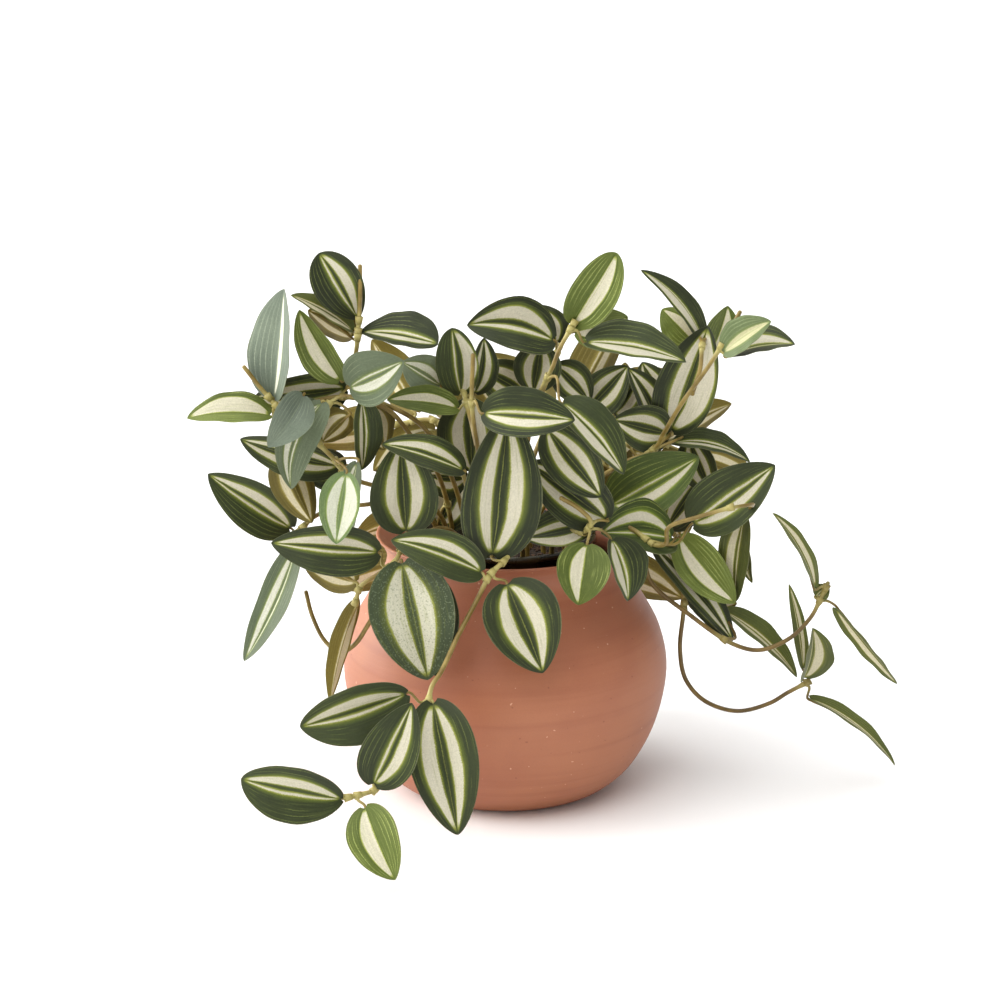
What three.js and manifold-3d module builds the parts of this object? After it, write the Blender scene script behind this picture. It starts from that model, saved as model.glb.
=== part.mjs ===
// Potted tradescantia: a round terracotta pot, a dark grow cup standing in it, soil, and
// striped leafy stems that rise from plain holes in the soil. Millimetres, +Z up.
// The origin is the middle of the pot's foot, +X is to the right and +Y goes away from the viewer.
import * as THREE from 'three';
import { mergeVertices } from 'three/addons/utils/BufferGeometryUtils.js';
import Module from 'manifold-3d';

const wasm = await Module();
wasm.setup();

// Pot: the outline of its outer wall, from the foot up to the lip, as radius and height
const POT_FOOT_RADIUS = 44;
const POT_OUTLINE = [
  [POT_FOOT_RADIUS, 0],
  [52, 4.2],
  [62, 14.5],
  [71, 33],
  [75.4, 56],
  [72, 75],
  [63.5, 91],
  [56.8, 103],
  [54.8, 110.5],
  [56.6, 116.5],
  [59.6, 120.2],
];
const POT_HEIGHT = 121.6;
const POT_WALL = 5;
const POT_FLOOR = 8;
const POT_SIDES = 40;
const LIP_RADIUS = 59.8;

// Grow cup and soil
const TOUCH = 0.3; // what lies against something keeps this gap
const CUP_RIM_RADIUS = 42;
const CUP_TOP_RADIUS = 40.5;
const CUP_FOOT_RADIUS = 31;
const CUP_WALL = 1.6;
const CUP_BOTTOM = POT_FLOOR + TOUCH;
const CUP_TOP = 121;
const CUP_RIM_DEPTH = 3;
const CUP_SIDES = 30;
const SOIL_TOP = 107;
const SOIL_CROWN = 3; // the soil is heaped this much in the middle
const ROOT_DEPTH = 14;

// Leafy stems
const STEM_RADIUS = 1.25;
const STEM_SIDES = 5;
const STALK_WIDTH = 1.9;
const BLADE_THICKNESS = 0.8;
const STALK_THICKNESS = 1.6;
const CLEAR = 1; // the least space between the blades and stems of different sprays
const FOLD = 22; // the usual slope of a blade's halves, in degrees
const ARCH = 0.07; // the usual rise of a midrib over its chord, as a share of its length
const FINEST = 0.05; // edges shorter than this are closed up
const STRETCH = 8; // places along each stretch of a stem's route
const ROD_STRETCH = 7; // how many of those places one stretch of the solid stem takes in
const RISEN = 20; // the first of a stem's places that is well clear of the soil
const BEND = 0.6; // the steepest that a stem bends back to clear what is before it
const BLADE_ROWS = [0.09, 0.34, 0.7]; // where a blade is measured across, from root to tip

// The plant is laid out as the photograph shows it: a point is given by its place in the
// 1000 x 1000 picture and by how far back it lies, and the viewpoint turns that into a place.
const VIEW = {
  rise: THREE.MathUtils.degToRad(16.1),
  distance: 1600,
  pixelsPerUnit: 3467,
  middle: 500,
  target: new THREE.Vector3(-2.5, 0, 136.4),
};
VIEW.ahead = new THREE.Vector3(0, Math.cos(VIEW.rise), -Math.sin(VIEW.rise));
VIEW.up = new THREE.Vector3(0, Math.sin(VIEW.rise), Math.cos(VIEW.rise));
VIEW.eye = VIEW.target.clone().addScaledVector(VIEW.ahead, -VIEW.distance);

const radians = THREE.MathUtils.degToRad;

// The line of sight through a point of the picture, stretched so that it goes back by 1
function lineOfSight(u, v) {
  const ray = VIEW.ahead.clone();
  ray.x += (u - VIEW.middle) / VIEW.pixelsPerUnit;
  ray.addScaledVector(VIEW.up, (VIEW.middle - v) / VIEW.pixelsPerUnit);
  return ray.divideScalar(ray.y);
}

// The place that is seen at u, v and lies y behind the pot's axis
function seen(u, v, y) {
  return lineOfSight(u, v).multiplyScalar(y - VIEW.eye.y).add(VIEW.eye);
}

// Where a place is seen in the picture
function pictured(place) {
  const sight = place.clone().sub(VIEW.eye);
  const scale = VIEW.pixelsPerUnit / sight.dot(VIEW.ahead);
  return [VIEW.middle + sight.x * scale, VIEW.middle - sight.dot(VIEW.up) * scale];
}

// Moves a place back along its line of sight
function setBack(place, distance) {
  const [u, v] = pictured(place);
  return place.clone().addScaledVector(lineOfSight(u, v), distance);
}

// A leaf of a spray. root and tip are picture points, y is how far back its root lies, and lean
// how much further back its tip is. wide is its true width. roll turns it about its midrib: at 0
// its upper face looks at the viewer and at 180 its lower face does. fold is the slope of its
// halves, arch the rise of its midrib and bow how far the midrib bends to the right of its way.
function leaf(spray, { root, tip, y, lean = 0, ...form }) {
  return { spray, root: seen(...root, y), tip: seen(...tip, y + lean), ...form };
}

// A stem of a spray. hole is the x and y of its hole in the soil, and route holds picture points
// with their depths.
function stem(spray, { hole, route }) {
  return { spray, hole, route: route.map((point) => seen(...point)) };
}

// A side shoot, which leaves a stem of its spray at the first point of its route
function shoot(spray, { route }) {
  return { spray, route: route.map((point) => seen(...point)) };
}

// Everything that the photograph shows of the plant, from front to back
const FRONT_TO_BACK = [
  // The stem that trails over the front of the lip and down to the left
  leaf('front_trailer', { root: [365, 808], tip: [395, 880], y: -134, lean: -16, wide: 26, roll: 20 }),
  leaf('front_trailer', { root: [340, 799], tip: [241, 779], y: -128, lean: -4, wide: 31, roll: -22 }),
  leaf('front_trailer', { root: [373, 782], tip: [407, 703], y: -127, lean: 2, wide: 29, roll: 0 }),
  leaf('front_trailer', { root: [405, 694], tip: [300, 727], y: -111, lean: -6, wide: 32, roll: -24 }),
  leaf('front_trailer', { root: [433, 703], tip: [458, 835], y: -107, lean: -18, wide: 34, roll: 0 }),
  leaf('front_trailer', { root: [500, 583], tip: [541, 672], y: -71, lean: -12, wide: 36, roll: 0 }),
  leaf('front_trailer', { root: [480, 572], tip: [391, 540], y: -71, lean: -6, wide: 25, roll: -10 }),
  stem('front_trailer', {
    hole: [8, -27],
    route: [
      [520, 541, -50], [514, 550, -60], [503, 562, -67], [490, 575, -71], [478, 598, -76],
      [457, 638, -87], [441, 672, -98], [432, 686, -103], [427, 706, -106], [406, 752, -114],
      [376, 789, -126], [363, 794, -128], [350, 797, -130],
    ],
  }),
  leaf('crown', { root: [484, 413], tip: [575, 420], y: -66, lean: -4, wide: 25, roll: -15 }),
  leaf('front_trailer', { root: [492, 555], tip: [507, 413], y: -64, lean: 6, wide: 39, roll: 10 }),

  // The two leafy stems that hang over the lip at the left
  leaf('left_hanger', { root: [400, 563], tip: [430, 678], y: -76, lean: -14, wide: 38, roll: 2 }),
  leaf('left_hanger', { root: [424, 574], tip: [436, 675], y: -68, lean: -11, wide: 26, roll: -12 }),
  leaf('left_hanger', { root: [378, 552], tip: [271, 543], y: -65, lean: -6, wide: 25, roll: -8 }),
  leaf('left_mid', { root: [342, 488], tip: [346, 543], y: -60, lean: -10, wide: 24, roll: 5 }),
  leaf('left_mid', { root: [357, 463], tip: [352, 530], y: -60, lean: 2, wide: 13, roll: 35 }),
  leaf('centre_left', { root: [463, 470], tip: [382, 444], y: -56, lean: -4, wide: 19, roll: 32 }),
  leaf('left_hanger', { root: [406, 531], tip: [401, 442], y: -56, lean: 4, wide: 33, roll: 0 }),
  stem('left_hanger', {
    hole: [-16, -21],
    route: [
      [442, 528, -40], [413, 540, -46], [401, 550, -54], [396, 560, -60], [380, 573, -62],
      [361, 586, -60], [356, 600, -58],
    ],
  }),
  shoot('left_hanger', {
    route: [
      [396, 562, -61], [386, 592, -62], [368, 625, -56], [354, 645, -52], [340, 652, -50],
      [325, 641, -47], [312, 615, -45], [306, 592, -43],
    ],
  }),
  leaf('left_hanger', { root: [357, 603], tip: [329, 703], y: -56, lean: -8, wide: 24, roll: 128 }),
  leaf('left_hanger', { root: [356, 582], tip: [303, 562], y: -58, lean: 4, wide: 21, roll: 165 }),
  stem('centre_left', {
    hole: [-12, 4],
    route: [
      [478, 525, -26], [469, 498, -42], [463, 474, -50], [452, 450, -48],
    ],
  }),

  // The sprays of the left side
  leaf('left_far', { root: [292, 402], tip: [262, 449], y: -54, lean: -12, wide: 26, roll: -8, arch: 0.2 }),
  leaf('left_top', { root: [350, 387], tip: [404, 361], y: -48, lean: -6, wide: 27, roll: 0 }),
  leaf('left_mid', { root: [328, 403], tip: [290, 490], y: -52, lean: -4, wide: 24, roll: -42 }),
  leaf('left_mid', { root: [325, 410], tip: [296, 430], y: -48, lean: 0, wide: 20, roll: 20 }),
  leaf('left_mid', { root: [356, 410], tip: [358, 468], y: -54, lean: 2, wide: 17, roll: -35 }),
  leaf('left_mid', { root: [348, 415], tip: [322, 442], y: -52, lean: 0, wide: 18, roll: 160 }),
  stem('left_mid', {
    hole: [-25, -8],
    route: [
      [432, 506, -32], [390, 490, -44], [350, 477, -48], [333, 458, -50], [318, 440, -51],
      [322, 418, -50], [330, 402, -48],
    ],
  }),
  leaf('left_far', { root: [270, 415], tip: [187, 418], y: -46, lean: -4, wide: 22, roll: 10 }),
  leaf('left_far', { root: [275, 397], tip: [285, 289], y: -42, lean: 2, wide: 25, roll: 22 }),
  leaf('left_mid', { root: [298, 458], tip: [240, 439], y: -46, lean: 0, wide: 22, roll: -20 }),
  leaf('left_far', { root: [345, 398], tip: [252, 396], y: -38, lean: 0, wide: 22, roll: -38 }),
  leaf('left_top', { root: [340, 380], tip: [299, 310], y: -42, lean: -4, wide: 20, roll: -30 }),
  stem('left_far', {
    hole: [-24, 2],
    route: [
      [436, 470, -30], [412, 437, -35], [387, 409, -38], [345, 397, -39], [312, 402, -42],
      [286, 412, -46], [265, 393, -44], [244, 367, -42],
    ],
  }),
  leaf('left_mid', { root: [284, 460], tip: [316, 517], y: -48, lean: -2, wide: 25, roll: 175 }),
  leaf('left_low', { root: [290, 528], tip: [208, 474], y: -46, lean: -8, wide: 27, roll: -8 }),
  leaf('left_low', { root: [296, 548], tip: [244, 661], y: -50, lean: -12, wide: 18, roll: 32, bow: -5 }),
  leaf('left_low', { root: [345, 466], tip: [298, 462], y: -40, lean: 0, wide: 22, roll: -25 }),
  stem('left_low', {
    hole: [-29, -16],
    route: [
      [425, 512, -36], [388, 503, -44], [362, 505, -47], [338, 507, -48], [314, 517, -48],
      [299, 531, -48],
    ],
  }),
  leaf('left_top', { root: [356, 316], tip: [316, 253], y: -38, lean: -4, wide: 26, roll: 20 }),
  leaf('left_top', { root: [352, 330], tip: [291, 295], y: -38, lean: -4, wide: 20, roll: 45 }),
  leaf('left_top', { root: [352, 337], tip: [308, 310], y: -34, lean: 0, wide: 20, roll: 150 }),
  leaf('left_top', { root: [364, 332], tip: [438, 341], y: -38, lean: -8, wide: 22, roll: -30 }),
  stem('left_top', {
    hole: [-17, -5],
    route: [
      [452, 478, -20], [421, 425, -32], [380, 402, -38], [352, 391, -42], [357, 345, -40],
      [360, 300, -38], [360, 266, -36],
    ],
  }),

  // The crown in the middle
  leaf('crown', { root: [458, 405], tip: [386, 398], y: -54, lean: -8, wide: 20, roll: 20 }),
  leaf('crown', { root: [465, 392], tip: [452, 329], y: -50, lean: -4, wide: 24, roll: 8 }),
  stem('crown', {
    hole: [-6, -13],
    route: [
      [486, 500, -28], [478, 450, -46], [472, 405, -54], [473, 355, -52],
    ],
  }),
  shoot('crown', {
    route: [
      [477, 446, -47], [472, 424, -36], [466, 402, -22], [462, 382, -12],
    ],
  }),
  leaf('crown', { root: [470, 400], tip: [472, 472], y: -48, lean: 4, wide: 32, roll: 6 }),
  leaf('crown', { root: [475, 393], tip: [484, 338], y: -46, lean: 2, wide: 17, roll: 30 }),
  leaf('centre_left', { root: [466, 478], tip: [424, 474], y: -44, lean: -2, wide: 20, roll: -30 }),
  leaf('left_far', { root: [439, 524], tip: [464, 476], y: -42, lean: 0, wide: 26, roll: 0 }),
  leaf('centre_left', { root: [462, 522], tip: [452, 480], y: -38, lean: 2, wide: 20, roll: 0 }),
  leaf('crown', { root: [440, 385], tip: [402, 362], y: -38, lean: 0, wide: 20, roll: 10 }),
  leaf('left_top', { root: [375, 408], tip: [384, 450], y: -36, lean: 0, wide: 22, roll: 160 }),

  // The stems that stand and hang to the right of the middle
  leaf('centre_top', { root: [563, 403], tip: [624, 474], y: -52, lean: -6, wide: 25, roll: 15 }),
  leaf('centre_top', { root: [548, 430], tip: [601, 497], y: -48, lean: -4, wide: 26, roll: 0 }),
  leaf('right_middle', { root: [588, 545], tip: [578, 605], y: -61, lean: -10, wide: 25, roll: 0 }),
  leaf('right_middle', { root: [612, 540], tip: [628, 601], y: -53, lean: -8, wide: 24, roll: -10 }),
  stem('right_middle', {
    hole: [21, -19],
    route: [
      [560, 530, -42], [583, 532, -52], [591, 522, -56], [578, 508, -58], [561, 498, -58],
    ],
  }),
  leaf('right_middle', { root: [600, 517], tip: [527, 462], y: -50, lean: 0, wide: 28, roll: 0 }),
  leaf('right_middle', { root: [592, 523], tip: [524, 538], y: -50, lean: 0, wide: 25, roll: 0 }),
  leaf('right_outer', { root: [670, 537], tip: [601, 533], y: -50, lean: -14, wide: 32, roll: 8 }),
  leaf('right_outer', { root: [612, 505], tip: [699, 457], y: -46, lean: -6, wide: 31, roll: 0 }),
  stem('right_outer', {
    hole: [28, -11],
    route: [
      [600, 520, -24], [632, 529, -32], [655, 545, -40], [666, 543, -43], [668, 528, -45],
      [698, 517, -47], [729, 508, -48],
    ],
  }),
  leaf('right_outer', { root: [693, 523], tip: [775, 465], y: -40, lean: -4, wide: 30, roll: 0 }),
  leaf('right_outer', { root: [680, 538], tip: [737, 602], y: -43, lean: -8, wide: 23, roll: 10 }),
  leaf('right_trailer', { root: [815, 587], tip: [773, 513], y: -32, lean: -4, wide: 20, roll: 50 }),
  leaf('right_trailer', { root: [836, 609], tip: [896, 685], y: -30, lean: 4, wide: 19, roll: 58, bow: -5 }),
  leaf('right_trailer', { root: [816, 596], tip: [829, 586], y: -29, lean: 0, wide: 9, roll: 0 }),
  stem('right_trailer', {
    hole: [30, 0],
    route: [
      [610, 512, -14], [633, 526, -20], [643, 552, -24], [651, 582, -26], [690, 615, -28],
      [733, 644, -30], [760, 650, -30], [790, 638, -30], [811, 617, -30], [820, 600, -30],
      [828, 583, -30],
    ],
  }),
  leaf('right_trailer', { root: [655, 548], tip: [733, 641], y: -30, lean: -4, wide: 19, roll: -32 }),
  leaf('right_trailer', { root: [726, 614], tip: [798, 677], y: -28, lean: 0, wide: 18, roll: -30 }),
  leaf('right_outer', { root: [744, 516], tip: [735, 602], y: -40, lean: 4, wide: 18, roll: 30 }),
  leaf('right_outer', { root: [742, 514], tip: [752, 583], y: -38, lean: 4, wide: 11, roll: 40 }),
  leaf('right_low', { root: [804, 678], tip: [813, 628], y: -10, lean: 0, wide: 27, roll: 30, fold: 34 }),
  leaf('right_low', { root: [803, 667], tip: [789, 583], y: -9, lean: 2, wide: 9, roll: 35 }),
  leaf('right_low', { root: [811, 699], tip: [895, 765], y: -8, lean: 0, wide: 18, roll: 62, bow: -3 }),
  leaf('right_low', { root: [690, 598], tip: [734, 641], y: -14, lean: 0, wide: 20, roll: -30 }),
  leaf('right_low', { root: [688, 590], tip: [737, 604], y: -10, lean: 0, wide: 18, roll: 160 }),
  stem('right_low', {
    hole: [28, 12],
    route: [
      [615, 500, 4], [640, 516, 0], [662, 545, -4], [679, 575, -8], [684, 600, -8], [680, 650, -8],
      [686, 680, -8], [705, 701, -8], [737, 711, -8], [770, 703, -8], [787, 693, -8],
      [806, 683, -8],
    ],
  }),

  // The top of the plant at the middle and the right
  leaf('centre_top', { root: [573, 322], tip: [617, 253], y: -26, lean: -4, wide: 21, roll: 0 }),
  leaf('centre_top', { root: [552, 343], tip: [466, 328], y: -34, lean: -8, wide: 28, roll: 0 }),
  leaf('centre_top', { root: [583, 344], tip: [686, 362], y: -30, lean: -6, wide: 24, roll: -10 }),
  stem('centre_top', {
    hole: [10, -5],
    route: [
      [522, 490, -12], [530, 430, -22], [540, 393, -30], [553, 366, -32], [559, 350, -31],
      [573, 325, -28],
    ],
  }),
  shoot('centre_top', {
    route: [
      [530, 428, -22], [540, 398, -8], [552, 368, 8], [560, 344, 20],
    ],
  }),
  leaf('centre_top', { root: [541, 346], tip: [533, 394], y: -26, lean: 0, wide: 24, roll: 0 }),
  leaf('centre_top', { root: [528, 395], tip: [478, 366], y: -24, lean: 0, wide: 24, roll: 0 }),
  leaf('centre_top', { root: [560, 352], tip: [592, 401], y: -24, lean: 0, wide: 24, roll: -10 }),
  leaf('centre_top', { root: [556, 343], tip: [536, 305], y: -18, lean: 2, wide: 21, roll: 0 }),
  leaf('centre_top', { root: [575, 332], tip: [628, 317], y: -16, lean: 2, wide: 20, roll: 15 }),
  leaf('right_top', { root: [708, 352], tip: [723, 307], y: -34, lean: -2, wide: 23, roll: 25 }),
  leaf('right_top', { root: [722, 350], tip: [770, 321], y: -32, lean: -4, wide: 20, roll: -35 }),
  leaf('right_top', { root: [728, 355], tip: [795, 344], y: -28, lean: 0, wide: 24, roll: -30 }),
  leaf('right_top', { root: [664, 440], tip: [611, 416], y: -36, lean: -4, wide: 24, roll: 0 }),
  stem('right_top', {
    hole: [18, 5],
    route: [
      [570, 500, -8], [620, 465, -18], [655, 448, -28], [664, 433, -34], [682, 403, -36],
      [706, 370, -34], [722, 345, -32], [740, 312, -30],
    ],
  }),
  leaf('right_top', { root: [668, 428], tip: [707, 325], y: -30, lean: 4, wide: 33, roll: 0 }),
  shoot('right_top', {
    route: [
      [692, 394, -36], [700, 370, -22], [702, 348, -8],
    ],
  }),
  leaf('right_top', { root: [703, 342], tip: [641, 270], y: -28, lean: -4, wide: 20, roll: 34, bow: 3 }),
  leaf('right_top', { root: [674, 443], tip: [752, 472], y: -24, lean: -2, wide: 21, roll: -34, bow: -3 }),
  leaf('right_top', { root: [694, 342], tip: [662, 309], y: -18, lean: 4, wide: 19, roll: 0 }),
  leaf('right_top', { root: [690, 440], tip: [713, 494], y: -14, lean: 0, wide: 20, roll: 20 }),
  leaf('right_back', { root: [660, 432], tip: [628, 368], y: -18, lean: 2, wide: 20, roll: 38 }),
  leaf('right_back', { root: [588, 410], tip: [628, 366], y: -14, lean: 0, wide: 22, roll: 0 }),
  leaf('right_back', { root: [614, 414], tip: [641, 370], y: -10, lean: 0, wide: 22, roll: 0 }),
  leaf('right_back', { root: [664, 410], tip: [642, 362], y: -4, lean: 4, wide: 20, roll: 0 }),
  leaf('right_low', { root: [668, 526], tip: [706, 470], y: -22, lean: 0, wide: 22, roll: 0 }),
  stem('right_back', {
    hole: [12, 14],
    route: [
      [560, 480, 8], [590, 430, 18], [620, 415, 22], [646, 414, 16], [664, 426, 0],
    ],
  }),
];

// The sprays behind, which the photograph doesn't show: two hang over the back of the lip. The
// route of a stem is given as above, and its leaves follow a rule.
const BACK_SPRAYS = [
  {
    spray: 'back_right',
    hole: [22, 20],
    route: [[570, 490, 34], [604, 456, 42], [644, 440, 48], [684, 452, 52]],
  },
  {
    spray: 'back_top',
    hole: [6, 20],
    route: [[530, 470, 34], [545, 430, 46], [566, 402, 54], [600, 396, 58]],
  },
  {
    spray: 'back_left',
    hole: [-14, 14],
    route: [[476, 480, 32], [458, 440, 40], [432, 420, 44], [398, 424, 48]],
  },
  {
    spray: 'back_low_left',
    hole: [-12, 22],
    route: [[472, 488, 34], [460, 484, 56], [440, 500, 76], [420, 545, 88], [406, 600, 94]],
  },
  {
    spray: 'back_low_right',
    hole: [13, 24],
    route: [[534, 488, 36], [544, 484, 58], [566, 502, 78], [588, 548, 90], [600, 604, 96]],
  },
];
const BACK_JOINTS = [0.64, 0.77, 0.9]; // where its pairs of leaves stand, as shares of its places
const BACK_LENGTH = [34, 46];
const BACK_WIDTH = [0.54, 0.62]; // as a share of the length
const SEED = 57;

// Draws numbers between two limits, and the same ones each time
function seededDraw(seed) {
  let state = seed;
  return (low, high) => {
    state = (state * 16807) % 2147483647;
    return low + ((high - low) * state) / 2147483647;
  };
}

// The places of a stem from the bottom of its hole on, or of a side shoot
function stemPlaces({ hole, route }) {
  const heights = hole ? [SOIL_TOP - ROOT_DEPTH + TOUCH, SOIL_TOP - 2, SOIL_TOP + 9] : [];
  const points = [...heights.map((z) => new THREE.Vector3(...hole, z)), ...route];
  return new THREE.CatmullRomCurve3(points).getPoints(STRETCH * (points.length - 1));
}

// The stem and the leaves of one spray at the back, with a leaf on either side of each joint and
// one at the end. Their upper faces look away from the viewer.
function backSpray({ spray, ...line }, draw) {
  const main = stem(spray, line);
  const places = stemPlaces(main);
  const parts = [main];
  for (const joint of BACK_JOINTS) {
    const spot = Math.round(joint * (places.length - 1));
    const along = places[spot].clone().sub(places[spot - 1]).normalize();
    const across = along.clone().cross(VIEW.ahead).normalize();
    for (const side of [-1, 1]) {
      const heading = along.clone().multiplyScalar(draw(0.3, 0.7));
      heading.addScaledVector(across, side).addScaledVector(VIEW.up, draw(-0.4, -0.1));
      parts.push(backLeaf(spray, places[spot], heading, draw));
    }
  }
  const last = places[places.length - 1];
  parts.push(backLeaf(spray, last, last.clone().sub(places[places.length - 4]), draw));
  return parts;
}

// A leaf at the back, which leans outwards a little from the joint on
function backLeaf(spray, joint, heading, draw) {
  const length = draw(...BACK_LENGTH);
  const along = heading.clone().projectOnPlane(VIEW.ahead).normalize();
  along.addScaledVector(VIEW.ahead, draw(0, 0.15)).normalize();
  const root = joint.clone().addScaledVector(along, 4);
  const tip = root.clone().addScaledVector(along, length);
  const face = VIEW.ahead.clone().addScaledVector(VIEW.up, draw(0, 0.5)).setX(draw(-0.5, 0.5));
  return { spray, root, tip, face, wide: draw(...BACK_WIDTH) * length, roll: 0 };
}

const draw = seededDraw(SEED);
const PLANT = [...FRONT_TO_BACK, ...BACK_SPRAYS.flatMap((spray) => backSpray(spray, draw))];

// Half of a blade's width at t along its midrib, as a share of its greatest half width
function halfWidth(t) {
  const peak = 0.5 / 1.3;
  return (t ** 0.5 * (1 - t) ** 0.8) / (peak ** 0.5 * (1 - peak) ** 0.8);
}

// The form of a blade: its directions, and the place on its upper face for t, 0 to 1 from root to
// tip, and s, -1 to 1 across it
function bladeForm({ root, tip, wide, roll, face, fold = FOLD, arch = ARCH, bow = 0 }) {
  const chord = tip.clone().sub(root);
  const length = chord.length();
  const along = chord.clone().normalize();
  const toward = face ?? VIEW.eye.clone().sub(root);
  const front = toward.clone().addScaledVector(along, -toward.dot(along)).normalize();
  const side = along.clone().cross(front);
  const turn = radians(roll);
  const upper = front.clone().multiplyScalar(Math.cos(turn)).addScaledVector(side, Math.sin(turn));
  const across = along.clone().cross(upper);
  const slope = radians(fold);
  const place = (t, s) => {
    const half = 0.5 * wide * halfWidth(t);
    const rise = Math.sin(slope) * half * (1.25 * Math.abs(s) - 0.25 * s * s);
    const hump = 4 * t * (1 - t);
    return root
      .clone()
      .addScaledVector(along, length * t)
      .addScaledVector(upper, arch * length * hump + rise)
      .addScaledVector(across, Math.cos(slope) * half * s + bow * hump);
  };
  return { root, place, along, upper, across };
}

// What has been placed, as the furthest depth over each small square of the picture
const SQUARE = 2; // in pixels
const SQUARE_COLUMN = 4096; // more squares than a column of the picture has
const placed = new Map();

function squaresRound(place) {
  const [u, v] = pictured(place).map((pixel) => Math.floor(pixel / SQUARE));
  const keys = [];
  for (let i = -1; i <= 1; i += 1) {
    for (let j = -1; j <= 1; j += 1) {
      keys.push((u + i) * SQUARE_COLUMN + v + j);
    }
  }
  return keys;
}

// How far back a place has to go to clear the front ones that matter to it
function neededSetBack(place, counts) {
  let distance = 0;
  for (const key of squaresRound(place)) {
    for (const front of placed.get(key) ?? []) {
      if (counts(front)) distance = Math.max(distance, front.y + CLEAR - place.y);
    }
  }
  return distance;
}

function record(place, { spray }, kind) {
  const key = squaresRound(place)[4];
  if (!placed.has(key)) placed.set(key, []);
  const here = placed.get(key);
  const same = here.find((front) => front.spray === spray && front.kind === kind);
  if (same) {
    same.y = Math.max(same.y, place.y);
  } else {
    here.push({ spray, kind, y: place.y });
  }
}

// Places all over both faces of a blade
const SAMPLES_ALONG = 56;
const SAMPLES_ACROSS = 12; // on each half

function samples(form) {
  const places = [];
  for (let i = 0; i <= SAMPLES_ALONG; i += 1) {
    for (let j = -SAMPLES_ACROSS; j <= SAMPLES_ACROSS; j += 1) {
      const place = form.place(i / SAMPLES_ALONG, j / SAMPLES_ACROSS);
      places.push(place, place.clone().addScaledVector(form.upper, -BLADE_THICKNESS));
    }
  }
  return places;
}

// How far back a place behind the pot has to go to clear its wall
const BEHIND_POT = 3;

function neededPastPot({ x, y, z }) {
  const above = POT_OUTLINE.findIndex(([, height]) => height > z);
  if (y < 0 || above < 1) return 0;
  const [[lowR, lowZ], [highR, highZ]] = [POT_OUTLINE[above - 1], POT_OUTLINE[above]];
  const radius = lowR + ((z - lowZ) / (highZ - lowZ)) * (highR - lowR) + BEHIND_POT;
  return Math.max(0, Math.sqrt(Math.max(0, radius * radius - x * x)) - y);
}

// Sets a leaf back until its blade clears every blade and every other spray's stem before it
function settleLeaf(part) {
  const counts = (front) => front.kind === 'blade' || front.spray !== part.spray;
  let distance = 0;
  for (const place of samples(bladeForm(part))) {
    distance = Math.max(distance, neededSetBack(place, counts), neededPastPot(place));
  }
  part.root = setBack(part.root, distance);
  part.tip = setBack(part.tip, distance);
  for (const place of samples(bladeForm(part))) {
    record(place, part, 'blade');
  }
}

// Bends a stem back, at a gentle slope, until it clears every other spray before it
function settleStem(part) {
  const places = stemPlaces(part);
  const counts = (front) => front.spray !== part.spray;
  const lowest = part.hole ? SOIL_TOP + 8 : 0;
  const needs = places.map((place) => (place.z < lowest ? 0 : neededSetBack(place, counts)));
  part.places = places.map((place) => {
    let distance = 0;
    places.forEach((other, j) => {
      const bend = needs[j] + STEM_RADIUS - BEND * place.distanceTo(other);
      if (needs[j] > 0) distance = Math.max(distance, bend);
    });
    const most = part.hole ? BEND * Math.max(0, place.z - lowest) : Infinity;
    return setBack(place, Math.min(distance, most));
  });
  for (const place of part.places) {
    record(place.clone().setY(place.y + STEM_RADIUS), part, 'stem');
  }
}

for (const part of PLANT) {
  if (part.route) {
    settleStem(part);
  } else {
    settleLeaf(part);
  }
}

// Solids from geometry, and geometry from solids
function solidOf(geometry) {
  const bare = geometry.clone();
  for (const name of Object.keys(bare.attributes)) {
    if (name !== 'position') bare.deleteAttribute(name);
  }
  const merged = mergeVertices(bare, 1e-4);
  const mesh = new wasm.Mesh({
    numProp: 3,
    vertProperties: new Float32Array(merged.attributes.position.array),
    triVerts: new Uint32Array(merged.index.array),
  });
  return new wasm.Manifold(mesh);
}

function geometryOf(solid) {
  const mesh = solid.getMesh();
  const geometry = new THREE.BufferGeometry();
  geometry.setAttribute('position', new THREE.BufferAttribute(mesh.vertProperties, 3));
  geometry.setIndex(new THREE.BufferAttribute(mesh.triVerts, 1));
  geometry.computeVertexNormals();
  return geometry;
}

// Where the stalk of a leaf leaves its spray: the nearest place on the spray's stems, some way
// above the soil
function stalkStart(root, stems) {
  const starts = stems.flatMap(({ hole, places }) => places.slice(hole ? RISEN : 0));
  starts.sort((a, b) => a.distanceTo(root) - b.distanceTo(root));
  return starts[0];
}

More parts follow.
